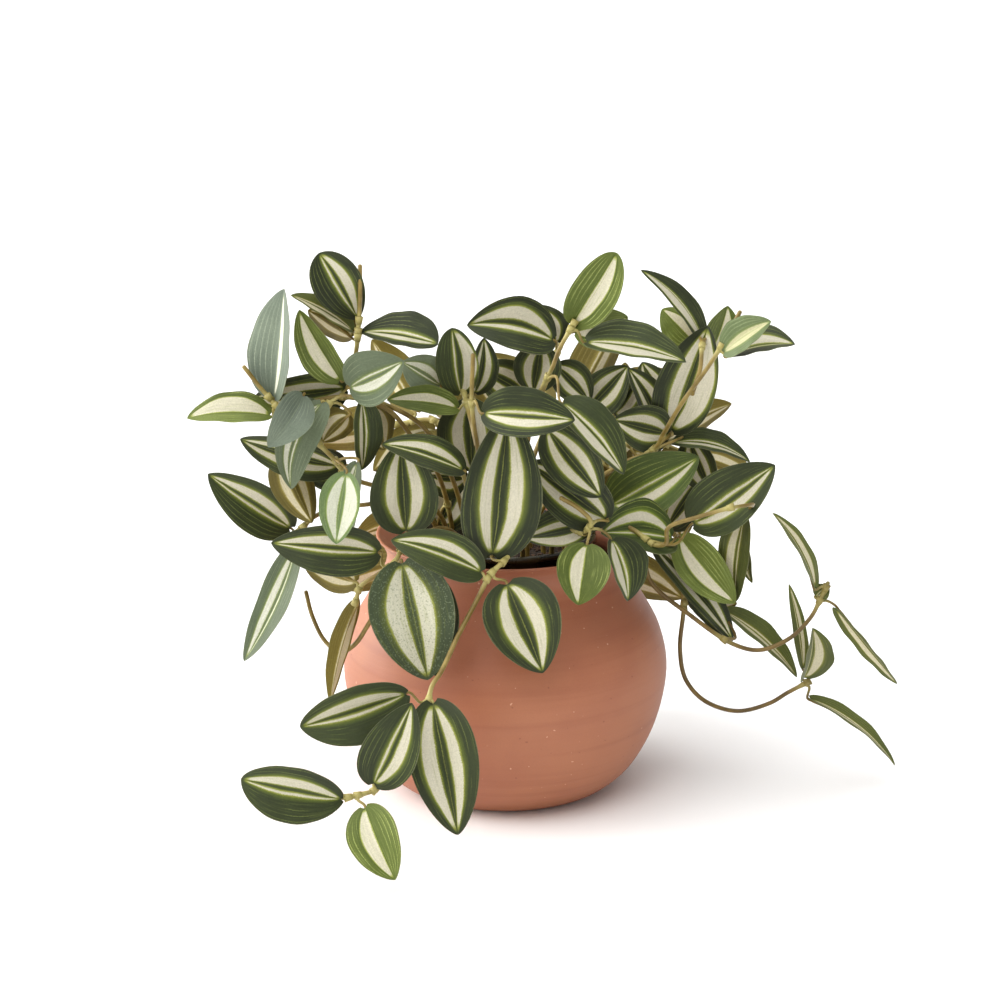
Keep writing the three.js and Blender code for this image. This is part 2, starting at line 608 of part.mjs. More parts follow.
// A leaf as one closed skin: its stalk and blade are split alike above and below, with a strip
// round the margin. The stalk is a narrow strip, thicker than the blade, that turns from its own
// way into the blade's.
function leafGeometry({ root, along, across, upper, place }, start) {
  const whole = new THREE.Quaternion().setFromUnitVectors(along, root.clone().sub(start).normalize());
  const half = new THREE.Quaternion().slerp(whole, 0.5);
  const stalkRow = (middle, turn) => {
    const down = upper.clone().multiplyScalar(-STALK_THICKNESS).applyQuaternion(turn);
    const aside = across.clone().multiplyScalar(STALK_WIDTH / 2).applyQuaternion(turn);
    return [-1, 1].map((side) => ({ top: middle.clone().addScaledVector(aside, side), down }));
  };
  const down = upper.clone().multiplyScalar(-BLADE_THICKNESS);
  const lifted = upper.clone().multiplyScalar(STALK_THICKNESS / 2).applyQuaternion(whole).add(start);
  const rows = [
    stalkRow(lifted, whole),
    stalkRow(root, half),
    ...BLADE_ROWS.map((t) => [-1, 0, 1].map((s) => ({ top: place(t, s), down }))),
    [{ top: place(1, 0), down }],
  ];
  const points = rows.flat();
  const count = points.length;
  const positions = [
    ...points.flatMap(({ top }) => [...top]),
    ...points.flatMap(({ top, down: drop }) => [...top.clone().add(drop)]),
  ];
  const first = rows.map((_, i) => rows.slice(0, i).flat().length);
  const faces = [];
  for (let i = 0; i < rows.length - 1; i += 1) {
    const [a, b] = [first[i], first[i + 1]];
    const [m, n] = [rows[i].length, rows[i + 1].length];
    if (m === 2 && n === 2) faces.push([a, a + 1, b], [a + 1, b + 1, b]);
    if (m === 2 && n === 3) faces.push([a, b + 1, b], [a, a + 1, b + 1], [a + 1, b + 2, b + 1]);
    if (m === 3 && n === 3) {
      faces.push([a, a + 1, b], [a + 1, b + 1, b], [a + 1, a + 2, b + 2], [a + 1, b + 2, b + 1]);
    }
    if (m === 3 && n === 1) faces.push([a, a + 1, b], [a + 1, a + 2, b]);
  }
  const right = rows.map((row, i) => first[i] + row.length - 1);
  const left = rows.slice(0, -1).map((_, i) => first[i]).reverse();
  const margin = [...right, ...left];
  const triangles = [];
  for (const [a, b, c] of faces) {
    triangles.push(a, b, c, a + count, c + count, b + count);
  }
  margin.forEach((a, i) => {
    const b = margin[(i + 1) % margin.length];
    triangles.push(a, a + count, b, b, a + count, b + count);
  });
  const geometry = new THREE.BufferGeometry();
  geometry.setAttribute('position', new THREE.Float32BufferAttribute(positions, 3));
  geometry.setIndex(triangles);
  return geometry;
}

// A round rod through the given places, with few sides
function rodGeometry(places, radius, sides, steps) {
  const section = new THREE.Shape();
  for (let i = 0; i < sides; i += 1) {
    const angle = (2 * Math.PI * i) / sides;
    const point = [radius * Math.cos(angle), radius * Math.sin(angle)];
    if (i === 0) section.moveTo(...point);
    else section.lineTo(...point);
  }
  section.closePath();
  const extrudePath = new THREE.CatmullRomCurve3(places);
  return new THREE.ExtrudeGeometry(section, { steps, extrudePath, bevelEnabled: false });
}

// One spray: its stems and its leaves, joined into a single solid
function sprayGeometry(spray) {
  const parts = PLANT.filter((part) => part.spray === spray);
  const stems = parts.filter((part) => part.route);
  const solids = stems.map(({ places }) => {
    const steps = Math.round(places.length / ROD_STRETCH);
    return solidOf(rodGeometry(places, STEM_RADIUS, STEM_SIDES, steps));
  });
  for (const part of parts.filter((one) => !one.route)) {
    solids.push(solidOf(leafGeometry(bladeForm(part), stalkStart(part.root, stems))));
  }
  const whole = solids.reduce((sum, solid) => sum.add(solid));
  const pieces = whole.simplify(FINEST).decompose();
  pieces.sort((a, b) => b.volume() - a.volume());
  return geometryOf(pieces[0]);
}

function smoothOutline(points, steps) {
  return new THREE.SplineCurve(points.map(([r, z]) => new THREE.Vector2(r, z))).getPoints(steps);
}

// A turned piece: its profile, in radius and height, starts and ends on the axis
function turned(profile, sides) {
  const geometry = new THREE.LatheGeometry(profile, sides);
  geometry.rotateX(Math.PI / 2);
  return geometry;
}

function potGeometry() {
  const outside = smoothOutline(POT_OUTLINE, 11);
  const lip = [
    new THREE.Vector2(LIP_RADIUS, POT_HEIGHT - 0.6),
    new THREE.Vector2(LIP_RADIUS - 1.4, POT_HEIGHT),
    new THREE.Vector2(LIP_RADIUS - 3.4, POT_HEIGHT - 0.8),
  ];
  const inside = smoothOutline(
    POT_OUTLINE.slice(2, -1).map(([r, z]) => [r - POT_WALL, Math.max(z, POT_FLOOR + 3)]),
    6,
  ).reverse();
  const profile = [
    new THREE.Vector2(0, 0),
    ...outside,
    ...lip,
    ...inside,
    new THREE.Vector2(POT_FOOT_RADIUS + 4, POT_FLOOR),
    new THREE.Vector2(0, POT_FLOOR),
  ];
  return turned(profile, POT_SIDES);
}

function cupGeometry() {
  const profile = [
    [0, CUP_BOTTOM],
    [CUP_FOOT_RADIUS, CUP_BOTTOM],
    [CUP_TOP_RADIUS, CUP_TOP - CUP_RIM_DEPTH - 0.5],
    [CUP_RIM_RADIUS, CUP_TOP - CUP_RIM_DEPTH],
    [CUP_RIM_RADIUS, CUP_TOP],
    [CUP_TOP_RADIUS - CUP_WALL, CUP_TOP],
    [CUP_FOOT_RADIUS - CUP_WALL, CUP_BOTTOM + CUP_WALL],
    [0, CUP_BOTTOM + CUP_WALL],
  ];
  return turned(profile.map(([r, z]) => new THREE.Vector2(r, z)), CUP_SIDES);
}

// The inner radius of the cup at a height
function cupRadius(z) {
  const share = (z - CUP_BOTTOM) / (CUP_TOP - CUP_RIM_DEPTH - CUP_BOTTOM);
  return CUP_FOOT_RADIUS + share * (CUP_TOP_RADIUS - CUP_FOOT_RADIUS) - CUP_WALL;
}

// The soil fills the cup, with a heaped top and one plain hole for each stem
function soilGeometry() {
  const bottom = CUP_BOTTOM + CUP_WALL + TOUCH;
  const profile = [
    [0, bottom],
    [cupRadius(bottom) - 2 * TOUCH, bottom],
    [cupRadius(SOIL_TOP) - 2 * TOUCH, SOIL_TOP - 1.5],
    [0.7 * CUP_TOP_RADIUS, SOIL_TOP + 0.35 * SOIL_CROWN],
    [0.35 * CUP_TOP_RADIUS, SOIL_TOP + 0.8 * SOIL_CROWN],
    [0, SOIL_TOP + SOIL_CROWN],
  ];
  let soil = solidOf(turned(profile.map(([r, z]) => new THREE.Vector2(r, z)), CUP_SIDES));
  for (const { hole } of PLANT.filter((part) => part.hole)) {
    const height = ROOT_DEPTH + 2 * SOIL_CROWN;
    const radius = STEM_RADIUS + 3 * TOUCH;
    const bore = new THREE.CylinderGeometry(radius, radius, height, 6);
    bore.rotateX(Math.PI / 2);
    bore.translate(hole[0], hole[1], SOIL_TOP - ROOT_DEPTH + height / 2);
    soil = soil.subtract(solidOf(bore));
  }
  return geometryOf(soil);
}

const terracotta = new THREE.MeshStandardMaterial({ color: 0xb0735a, roughness: 0.85, metalness: 0 });
const darkPlastic = new THREE.MeshStandardMaterial({ color: 0x14120f, roughness: 0.35, metalness: 0 });
const earth = new THREE.MeshStandardMaterial({ color: 0x2b1f17, roughness: 1, metalness: 0 });
const foliage = new THREE.MeshStandardMaterial({ color: 0x4b5b38, roughness: 0.6, metalness: 0 });

function piece(name, geometry, material) {
  const mesh = new THREE.Mesh(geometry, material);
  mesh.name = name;
  return mesh;
}

const plant = new THREE.Group();
plant.add(piece('pot', potGeometry(), terracotta));
plant.add(piece('grow_cup', cupGeometry(), darkPlastic));
plant.add(piece('soil', soilGeometry(), earth));
for (const spray of new Set(PLANT.map((part) => part.spray))) {
  plant.add(piece(`stem_${spray}`, sprayGeometry(spray), foliage));
}

export default plant;
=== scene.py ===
# Potted tradescantia: a matte clay pot, a dark grow cup, potting mix and striped leafy stems.
# The layout is in millimetres and in the same frame as the model; meshes are made in metres.
import math
import random

import bmesh
import bpy
import numpy as np
from mathutils import Matrix, Vector

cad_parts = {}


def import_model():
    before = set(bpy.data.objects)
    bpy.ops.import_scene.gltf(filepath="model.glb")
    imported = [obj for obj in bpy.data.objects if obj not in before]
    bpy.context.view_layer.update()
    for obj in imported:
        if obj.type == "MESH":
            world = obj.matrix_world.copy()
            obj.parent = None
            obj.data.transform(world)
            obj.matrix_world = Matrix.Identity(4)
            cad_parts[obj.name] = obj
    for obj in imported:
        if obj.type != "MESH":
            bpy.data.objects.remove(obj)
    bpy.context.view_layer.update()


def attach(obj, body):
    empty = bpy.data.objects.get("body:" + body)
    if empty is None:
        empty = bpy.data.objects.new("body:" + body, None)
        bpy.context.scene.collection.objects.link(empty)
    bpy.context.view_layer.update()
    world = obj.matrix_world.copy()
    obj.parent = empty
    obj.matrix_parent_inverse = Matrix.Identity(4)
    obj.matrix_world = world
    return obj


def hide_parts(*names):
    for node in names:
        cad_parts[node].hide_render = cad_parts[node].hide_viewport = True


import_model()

MM = 0.001
FULL_TURN = 2 * math.pi


def srgb(text):
    """A colour such as "#3F4A35" as Blender's linear red, green, blue and alpha."""
    parts = [int(text[i:i + 2], 16) / 255 for i in (1, 3, 5)]
    return [x / 12.92 if x <= 0.04045 else ((x + 0.055) / 1.055) ** 2.4 for x in parts] + [1.0]


# The viewpoint of the photograph, through which the plant is laid out
RISE = math.radians(16.1)
DISTANCE = 1600
PIXELS_PER_UNIT = 3467
MIDDLE = 500
TARGET = np.array([-2.5, 0, 136.4])
RIGHT = np.array([1.0, 0, 0])
AHEAD = np.array([0, math.cos(RISE), -math.sin(RISE)])
UP = np.array([0, math.sin(RISE), math.cos(RISE)])
EYE = TARGET - DISTANCE * AHEAD
SENSOR = 36

camera_data = bpy.data.cameras.new("photo_camera")
camera_data.sensor_width = SENSOR
camera_data.lens = SENSOR * PIXELS_PER_UNIT / (2 * MIDDLE)
camera = bpy.data.objects.new("photo_camera", camera_data)
turned = Matrix([RIGHT, UP, -AHEAD]).transposed().to_4x4()
camera.matrix_world = Matrix.Translation(Vector(EYE * MM)) @ turned
bpy.context.scene.collection.objects.link(camera)
bpy.context.scene.camera = camera


def unit(v):
    return v / np.linalg.norm(v)


def lines_of_sight(u, v):
    """The lines of sight through points of the picture, each stretched to go back by 1."""
    across = (np.asarray(u, float) - MIDDLE) / PIXELS_PER_UNIT
    upward = (MIDDLE - np.asarray(v, float)) / PIXELS_PER_UNIT
    rays = AHEAD + np.multiply.outer(across, RIGHT) + np.multiply.outer(upward, UP)
    return rays / rays[..., 1:2]


def seen(u, v, y):
    """The place that is seen at u, v and lies y behind the pot's axis."""
    return lines_of_sight(u, v) * (y - EYE[1]) + EYE


def pictured(places):
    """Where places are seen in the picture."""
    sight = places - EYE
    scale = PIXELS_PER_UNIT / (sight @ AHEAD)
    return MIDDLE + sight @ RIGHT * scale, MIDDLE - sight @ UP * scale


def set_back(places, distance):
    """Places moved back along their lines of sight."""
    return places + lines_of_sight(*pictured(places)) * np.asarray(distance, float)[..., None]


def smooth_through(points, per_stretch, even=False, open_ends=True):
    """Places along a Catmull-Rom curve through points, centripetal unless it is even."""
    points = [np.asarray(p, float) for p in points]
    before = 2 * points[0] - points[1] if open_ends else points[0]
    after = 2 * points[-1] - points[-2] if open_ends else points[-1]
    points = [before, *points, after]
    places = []
    for p0, p1, p2, p3 in zip(points, points[1:], points[2:], points[3:]):
        pairs = ((p0, p1), (p1, p2), (p2, p3))
        d0, d1, d2 = [1.0 if even else np.linalg.norm(b - a) ** 0.5 for a, b in pairs]
        start = ((p1 - p0) / d0 - (p2 - p0) / (d0 + d1) + (p2 - p1) / d1) * d1
        end = ((p2 - p1) / d1 - (p3 - p1) / (d1 + d2) + (p3 - p2) / d2) * d1
        for w in np.arange(per_stretch) / per_stretch:
            square = (3 * (p2 - p1) - 2 * start - end) * w**2
            cube = (2 * (p1 - p2) + start + end) * w**3
            places.append(p1 + start * w + square + cube)
    return np.array([*places, points[-2]])


# Pot, cup and soil, as in the model
POT_FOOT_RADIUS = 44
POT_OUTLINE = [
    (POT_FOOT_RADIUS, 0), (52, 4.2), (62, 14.5), (71, 33), (75.4, 56), (72, 75), (63.5, 91), (56.8, 103),
    (54.8, 110.5), (56.6, 116.5), (59.6, 120.2),
]
POT_HEIGHT = 121.6
POT_WALL = 5
POT_FLOOR = 8
LIP_RADIUS = 59.8
TOUCH = 0.3
CUP_RIM_RADIUS = 42
CUP_TOP_RADIUS = 40.5
CUP_FOOT_RADIUS = 31
CUP_WALL = 1.6
CUP_BOTTOM = POT_FLOOR + TOUCH
CUP_TOP = 121
CUP_RIM_DEPTH = 3
SOIL_TOP = 107
SOIL_CROWN = 3
ROOT_DEPTH = 14

# Leafy stems, as in the model
STEM_RADIUS = 1.25
CLEAR = 1  # how far a blade or a stem stays behind what is before it
FOLD = 22  # how far each half of a blade rises from the midrib, in degrees
ARCH = 0.07  # how high a blade arches, as a share of its length
STRETCH = 8  # places between two points of a stem's route
RISEN = 20  # the first place of a stem that a stalk may leave
BEND = 0.6  # how steeply a stem may bend back
SOIL_EXIT = 2  # below the top of the soil, where a stem still stands straight
UPRIGHT = 9  # how high above the soil a stem first stands straight
FREE = 8  # how high above the soil a stem may begin to bend

# What the model leaves out of a leaf
BLADE_THICKNESS = 0.5
MARGIN_THICKNESS = 0.28
LOBE = 0.035  # how far the lobes beside the stalk reach back, as a share of the length
LOBE_END = 0.16  # how far along the blade the lobes fade
LOBE_CURVE = 1.5  # how the lobes grow from the midrib to the margin
CREASE = 0.03  # the half width of the rounded midrib, as a share of the blade's
CAMBER = 0.25  # how far each half of a blade bulges, as a share of its rise
WAVE = 0.35  # how far the margin waves up and down, in mm
WAVES = (2.2, 3.4)  # how many times it waves
OUTLINE = (0.46, 0.72)  # how fully a blade widens from its root, and how slimly it ends
BLADE_ALONG = 28
BLADE_ACROSS = 14
BLADE_START = 0.003  # where the blade begins, so that a notch stays open at the stalk


def leaf(spray, look, root, tip, y, wide, lean=0, roll=0, **form):
    """A leaf of a spray. root and tip are picture points, y is how far back its root lies, and
    lean how much further back its tip is. wide is its true width. roll turns it about its
    midrib: at 0 its upper face looks at the viewer and at 180 its lower face does. bow bends its
    midrib sideways, arch bends it up, and shape gives the blade an outline of its own. look names
    its markings, whose wide cream band lies to the right of its way, or to the left with flip, and
    bands gives it bands of its own."""
    places = {"root": seen(*root, y), "tip": seen(*tip, y + lean)}
    return {"spray": spray, "look": look, "wide": wide, "roll": roll, **places, **form}


def stem(spray, hole, route):
    """A stem: hole is the x and y of its hole in the soil, and route picture points with depths."""
    return {"spray": spray, "hole": hole, "route": [seen(*point) for point in route]}


def shoot(spray, route):
    """A side shoot, which leaves a stem of its spray at the first point of its route."""
    return {"spray": spray, "hole": None, "route": [seen(*point) for point in route]}


# Everything that the photograph shows of the plant, from front to back
FRONT_TO_BACK = [
    # The stem that trails over the front of the lip and down to the left
    leaf("front_trailer", "light", root=(365, 808), tip=(395, 880), y=-134, lean=-16, wide=25, roll=15),
    leaf("front_trailer", "one", root=(341, 799), tip=(241, 779), y=-128, lean=-4, wide=28, roll=-20,
         shape=(0.6, 0.6)),
    leaf("front_trailer", "one", root=(374, 784), tip=(412, 703), y=-127, lean=2, wide=27, roll=4),
    leaf("front_trailer", "one", root=(406, 694), tip=(300, 727), y=-111, lean=-6, wide=29, roll=-20,
         shape=(0.55, 0.66)),
    leaf("front_trailer", "two", root=(433, 703), tip=(458, 835), y=-107, lean=-18, wide=33,
         bands=(0.2, 0.6, 0.2, 0.5)),
    leaf("front_trailer", "two", root=(507, 584), tip=(543, 673), y=-71, lean=-12, wide=37, roll=-5,
         shape=(0.42, 0.74)),
    leaf("front_trailer", "one", root=(481, 572), tip=(391, 540), y=-71, lean=-6, wide=22, roll=10,
         bow=1.5),
    stem("front_trailer", hole=(8, -27), route=[
        (520, 541, -50), (514, 550, -60), (503, 562, -67), (490, 575, -71), (478, 598, -76),
        (457, 638, -87), (441, 672, -98), (432, 686, -103), (427, 706, -106), (406, 752, -114),
        (376, 789, -126), (363, 794, -128), (350, 797, -130),
    ]),
    leaf("crown", "one", root=(484, 413), tip=(575, 420), y=-66, lean=-4, wide=25, roll=-15),
    leaf("front_trailer", "two", root=(492, 555), tip=(507, 413), y=-64, lean=6, wide=39, roll=10),

    # The two leafy stems that hang over the lip at the left
    leaf("left_hanger", "speckled", root=(402, 563), tip=(428, 680), y=-76, lean=-14, wide=41, roll=2),
    leaf("left_hanger", "two", root=(422, 574), tip=(436, 676), y=-68, lean=-11, wide=27, roll=-12,
         bands=(0.15, 0.5, 0.45, 0.62)),
    leaf("left_mid", "pale", root=(346, 474), tip=(336, 544), y=-67, lean=-6, wide=20, roll=12,
         bands=(0.12, 0.6, 0.2, 0.86)),
    leaf("left_hanger", "one", root=(378, 552), tip=(271, 543), y=-65, lean=-6, wide=25, roll=-8),
    leaf("left_mid", "painted_sheen_grey", root=(357, 463), tip=(352, 530), y=-60, lean=2, wide=13, roll=35),
    leaf("centre_left", "one", root=(463, 470), tip=(382, 444), y=-56, lean=-4, wide=19, roll=32),
    leaf("left_hanger", "two", root=(406, 531), tip=(401, 442), y=-56, lean=4, wide=33),
    stem("left_hanger", hole=(-16, -21), route=[
        (442, 528, -40), (413, 540, -46), (401, 550, -54), (396, 560, -60), (380, 573, -62),
        (361, 586, -60), (356, 600, -58),
    ]),
    shoot("left_hanger", route=[
        (396, 562, -61), (386, 592, -62), (368, 625, -56), (354, 645, -52), (340, 652, -50),
        (325, 641, -47), (312, 615, -45), (306, 592, -43),
    ]),
    leaf("left_hanger", "two", root=(357, 602), tip=(330, 702), y=-56, lean=-8, wide=11.5, roll=150,
         bands=(0.1, 0.8, 0.02, 0.12)),
    leaf("left_hanger", "two", root=(356, 582), tip=(303, 562), y=-58, lean=4, wide=21, roll=165),
    stem("centre_left", hole=(-12, 4), route=[
        (478, 525, -26), (469, 498, -42), (463, 474, -50), (452, 450, -48),
    ]),

    # The sprays of the left side
    leaf("left_far", "painted_sheen_mist", root=(303, 396), tip=(268, 447), y=-54, lean=-12, wide=19, roll=-10,
         arch=0.25),
    leaf("left_top", "painted_sheen_grey", root=(350, 387), tip=(404, 361), y=-48, lean=-6, wide=27),
    leaf("left_mid", "painted_sheen_grey", root=(322, 403), tip=(291, 489), y=-52, lean=-4, wide=20, roll=-10, bow=6),
    leaf("left_mid", "painted_sheen_grey", root=(325, 410), tip=(296, 430), y=-48, wide=20, roll=20),
    leaf("left_mid", "one", root=(362, 402), tip=(362, 470), y=-54, lean=2, wide=17, roll=-35),
    leaf("left_mid", "two", root=(348, 415), tip=(322, 442), y=-52, wide=18, roll=160),
    stem("left_mid", hole=(-25, -8), route=[
        (432, 506, -32), (390, 490, -44), (350, 477, -48), (333, 458, -50), (318, 440, -51),
        (322, 418, -50), (330, 402, -48),
    ]),
    leaf("left_far", "light", root=(270, 415), tip=(187, 418), y=-46, lean=-4, wide=21, roll=45,
         bands=(0.05, 0.72, 0, 0)),
    leaf("left_top", "light", root=(340, 380), tip=(299, 310), y=-42, lean=-4, wide=20, roll=-30,
         flip=True, bands=(0, 0.45, 0, 0.1)),
    leaf("left_far", "painted_sheen_mist", root=(274, 397), tip=(284, 289), y=-42, lean=2, wide=31, roll=-50, bow=4,
         bands=(0.05, 0.4, 0, 0)),
    leaf("left_mid", "two", root=(338, 466), tip=(240, 439), y=-46, wide=20, roll=-20),
    leaf("left_far", "two", root=(345, 388), tip=(254, 398), y=-38, wide=24, roll=-20),
    stem("left_far", hole=(-24, 2), route=[
        (436, 470, -30), (412, 437, -35), (387, 409, -38), (345, 397, -39), (312, 402, -42),
        (286, 412, -46), (265, 393, -44), (244, 367, -42),
    ]),
    leaf("left_mid", "two", root=(281, 458), tip=(312, 523), y=-48, lean=-2, wide=21, roll=175),
    leaf("left_low", "one", root=(290, 528), tip=(208, 474), y=-46, lean=-8, wide=25, roll=-8),
    leaf("left_low", "painted_sheen_grey", root=(296, 548), tip=(244, 661), y=-50, lean=-12, wide=18, roll=32,
         bow=-5),
    leaf("left_low", "two", root=(345, 466), tip=(298, 462), y=-40, wide=22, roll=-25),
    stem("left_low", hole=(-29, -16), route=[
        (425, 512, -36), (388, 503, -44), (362, 505, -47), (338, 507, -48), (314, 517, -48),
        (299, 531, -48),
    ]),
    stem("left_top", hole=(-17, -5), route=[
        (452, 478, -20), (421, 425, -32), (380, 402, -38), (352, 391, -42), (357, 345, -40),
        (360, 300, -38), (360, 266, -36),
    ]),
    leaf("left_top", "one", root=(357, 317), tip=(319, 253), y=-31, lean=-4, wide=24, shape=(0.7, 0.5)),
    leaf("left_top", "olive", root=(352, 330), tip=(291, 295), y=-38, lean=-4, wide=13, roll=45,
         flip=True, bands=(0.3, 0.85, 0, 0.1)),
    leaf("left_top", "two", root=(352, 337), tip=(308, 310), y=-34, wide=20, roll=150),
    leaf("left_top", "one", root=(363, 332), tip=(438, 344), y=-38, lean=-8, wide=24, roll=-45,
         shape=(0.7, 0.45)),

    # The crown in the middle
    leaf("crown", "light", root=(457, 408), tip=(387, 400), y=-54, lean=-8, wide=16, roll=30),
    leaf("crown", "one", root=(461, 393), tip=(452, 328), y=-50, lean=-4, wide=21, shape=(0.46, 0.5),
         bands=(0.3, 0.9, 0.05, 0.12)),
    stem("crown", hole=(-6, -13), route=[
        (486, 500, -28), (478, 450, -46), (472, 405, -54), (473, 355, -52),
    ]),
    shoot("crown", route=[
        (477, 446, -47), (472, 424, -36), (466, 402, -22), (462, 382, -12),
    ]),
    leaf("crown", "two", root=(470, 400), tip=(472, 472), y=-48, lean=4, wide=32, roll=6),
    leaf("crown", "two", root=(475, 393), tip=(484, 338), y=-46, lean=2, wide=17, roll=30),
    leaf("centre_left", "two", root=(466, 478), tip=(424, 474), y=-44, lean=-2, wide=20, roll=-30),
    leaf("left_far", "two", root=(439, 524), tip=(464, 476), y=-42, wide=26),
    leaf("centre_left", "two", root=(462, 522), tip=(452, 480), y=-38, lean=2, wide=20),
    leaf("crown", "painted_sheen_grey", root=(440, 385), tip=(402, 362), y=-38, wide=20, roll=10),
    leaf("left_top", "two", root=(375, 408), tip=(384, 450), y=-36, wide=22, roll=160),

    # The stems that stand and hang to the right of the middle
    leaf("centre_top", "one", root=(563, 403), tip=(624, 474), y=-52, lean=-6, wide=25, roll=-40,
         bands=(0.2, 0.75, 0.03, 0.12)),
    leaf("centre_top", "two", root=(548, 430), tip=(601, 497), y=-48, lean=-4, wide=26),
    leaf("right_middle", "light", root=(587, 545), tip=(578, 605), y=-61, lean=-10, wide=26),
    leaf("right_middle", "one", root=(612, 540), tip=(628, 601), y=-53, lean=-8, wide=28, roll=-50,
         bands=(0.15, 0.8, 0.05, 0.12)),
    stem("right_middle", hole=(21, -19), route=[
        (560, 530, -42), (583, 532, -52), (591, 522, -56), (578, 508, -58), (561, 498, -58),
    ]),
    leaf("right_middle", "two", root=(606, 519), tip=(527, 462), y=-50, wide=28),
    leaf("right_middle", "one", root=(592, 523), tip=(524, 538), y=-50, wide=20, roll=15, flip=True,
         bands=(0.45, 0.92, 0.05, 0.3)),
    leaf("right_outer", "fresh", root=(672, 538), tip=(601, 533), y=-50, lean=-14, wide=33, roll=36,
         bands=(0.33, 0.6, 0.02, 0.1)),
    leaf("right_outer", "fresh", root=(612, 505), tip=(699, 457), y=-46, lean=-6, wide=31,
         bands=(0.24, 0.5, 0, 0.05)),
    stem("right_outer", hole=(28, -11), route=[
        (600, 520, -24), (632, 529, -32), (655, 545, -40), (666, 543, -43), (668, 528, -45),
        (698, 517, -47), (729, 508, -48),
    ]),
    leaf("right_outer", "one", root=(693, 523), tip=(775, 465), y=-40, lean=-4, wide=30,
         bands=(0.22, 0.48, 0.02, 0.1)),
    leaf("right_outer", "light", root=(680, 538), tip=(735, 603), y=-43, lean=-8, wide=23, roll=10),
    leaf("right_trailer", "olive", root=(815, 587), tip=(773, 513), y=-32, lean=-4, wide=12, roll=56),
    leaf("right_trailer", "olive", root=(836, 609), tip=(897, 684), y=-30, lean=4, wide=11.5, roll=58,
         bow=-6),
    leaf("right_trailer", "olive", root=(816, 596), tip=(829, 586), y=-29, wide=9),
    stem("right_trailer", hole=(30, 0), route=[
        (610, 512, -14), (633, 526, -20), (643, 552, -24), (651, 582, -26), (690, 615, -28),
        (733, 644, -30), (760, 650, -30), (790, 638, -30), (811, 617, -30), (820, 600, -30),
        (828, 583, -30),
    ]),
    leaf("right_trailer", "two", root=(655, 548), tip=(733, 641), y=-30, lean=-4, wide=19, roll=-32),
    leaf("right_trailer", "olive", root=(726, 612), tip=(797, 677), y=-28, wide=16.5, roll=-50),
    leaf("right_outer", "olive", root=(744, 516), tip=(735, 602), y=-40, lean=4, wide=18, roll=30),
    leaf("right_outer", "olive", root=(742, 514), tip=(752, 583), y=-38, lean=4, wide=11, roll=40),
    leaf("right_low", "olive", root=(804, 678), tip=(813, 628), y=-10, wide=28, roll=60,
         shape=(0.38, 0.75)),
    leaf("right_low", "olive", root=(803, 667), tip=(789, 584), y=-9, lean=2, wide=7.5, roll=20),
    leaf("right_low", "olive", root=(811, 699), tip=(895, 765), y=-8, wide=11.5, roll=-58, bow=-1),
    leaf("right_low", "two", root=(690, 598), tip=(733, 641), y=-14, wide=14, roll=-30),
    leaf("right_low", "two", root=(688, 590), tip=(737, 604), y=-10, wide=18, roll=160),
    stem("right_low", hole=(28, 12), route=[
        (615, 500, 4), (640, 516, 0), (662, 545, -4), (679, 575, -8), (684, 600, -8), (680, 650, -8),
        (686, 680, -8), (705, 701, -8), (737, 711, -8), (770, 703, -8), (787, 693, -8), (806, 683, -8),
    ]),

    # The top of the plant at the middle and the right
    leaf("centre_top", "light", root=(574, 323), tip=(617, 253), y=-26, lean=-4, wide=23, bow=1,
         shape=(0.42, 0.5), bands=(0, 0.42, 0, 0.08)),
    leaf("centre_top", "one", root=(553, 340), tip=(467, 325), y=-34, lean=-8, wide=28, roll=15, bow=3,
         bands=(0.22, 0.62, 0.05, 0.2)),
    leaf("centre_top", "one", root=(587, 342), tip=(686, 362), y=-30, lean=-6, wide=26, roll=-48,
         bands=(0.2, 0.8, 0.02, 0.1)),
    stem("centre_top", hole=(10, -5), route=[
        (522, 490, -12), (530, 430, -22), (540, 393, -30), (553, 366, -32), (559, 350, -31),
        (573, 325, -28),
    ]),
    shoot("centre_top", route=[
        (530, 428, -22), (540, 398, -8), (552, 368, 8), (560, 344, 20),
    ]),
    leaf("centre_top", "two", root=(541, 346), tip=(533, 394), y=-26, wide=24),
    leaf("centre_top", "two", root=(528, 395), tip=(478, 366), y=-24, wide=24),
    leaf("centre_top", "two", root=(556, 366), tip=(590, 402), y=-24, wide=20, roll=-10),
    leaf("centre_top", "two", root=(556, 343), tip=(536, 305), y=-18, lean=2, wide=21),
    leaf("centre_top", "light", root=(575, 332), tip=(628, 317), y=-16, lean=2, wide=20, roll=15),
    leaf("right_top", "soft", root=(724, 352), tip=(771, 321), y=-34, lean=-4, wide=19, roll=-35),
    leaf("right_top", "one", root=(728, 355), tip=(795, 344), y=-28, wide=28, roll=-58, flip=True,
         bands=(0.1, 0.42, 0.05, 0.1)),
    leaf("right_top", "two", root=(668, 434), tip=(613, 420), y=-36, lean=-4, wide=24),
    stem("right_top", hole=(18, 5), route=[
        (570, 500, -8), (620, 465, -18), (655, 448, -28), (664, 433, -34), (682, 403, -36),
        (706, 370, -34), (722, 345, -32), (740, 312, -30),
    ]),
    leaf("right_top", "two", root=(671, 430), tip=(708, 326), y=-30, lean=4, wide=30,
         bands=(0.2, 0.86, 0.1, 0.45)),
    shoot("right_top", route=[
        (692, 394, -36), (700, 370, -22), (702, 348, -8),
    ]),
    leaf("right_top", "one", root=(703, 342), tip=(641, 270), y=-28, lean=-4, wide=12.5, roll=30, bow=3,
         flip=True, bands=(0.1, 0.75, 0, 0.05)),
    leaf("right_top", "light", root=(712, 350), tip=(728, 306), y=-34, lean=-2, wide=20, roll=25),
    leaf("right_top", "one", root=(674, 443), tip=(750, 462), y=-24, lean=-2, wide=15, roll=-45,
         bow=-3),
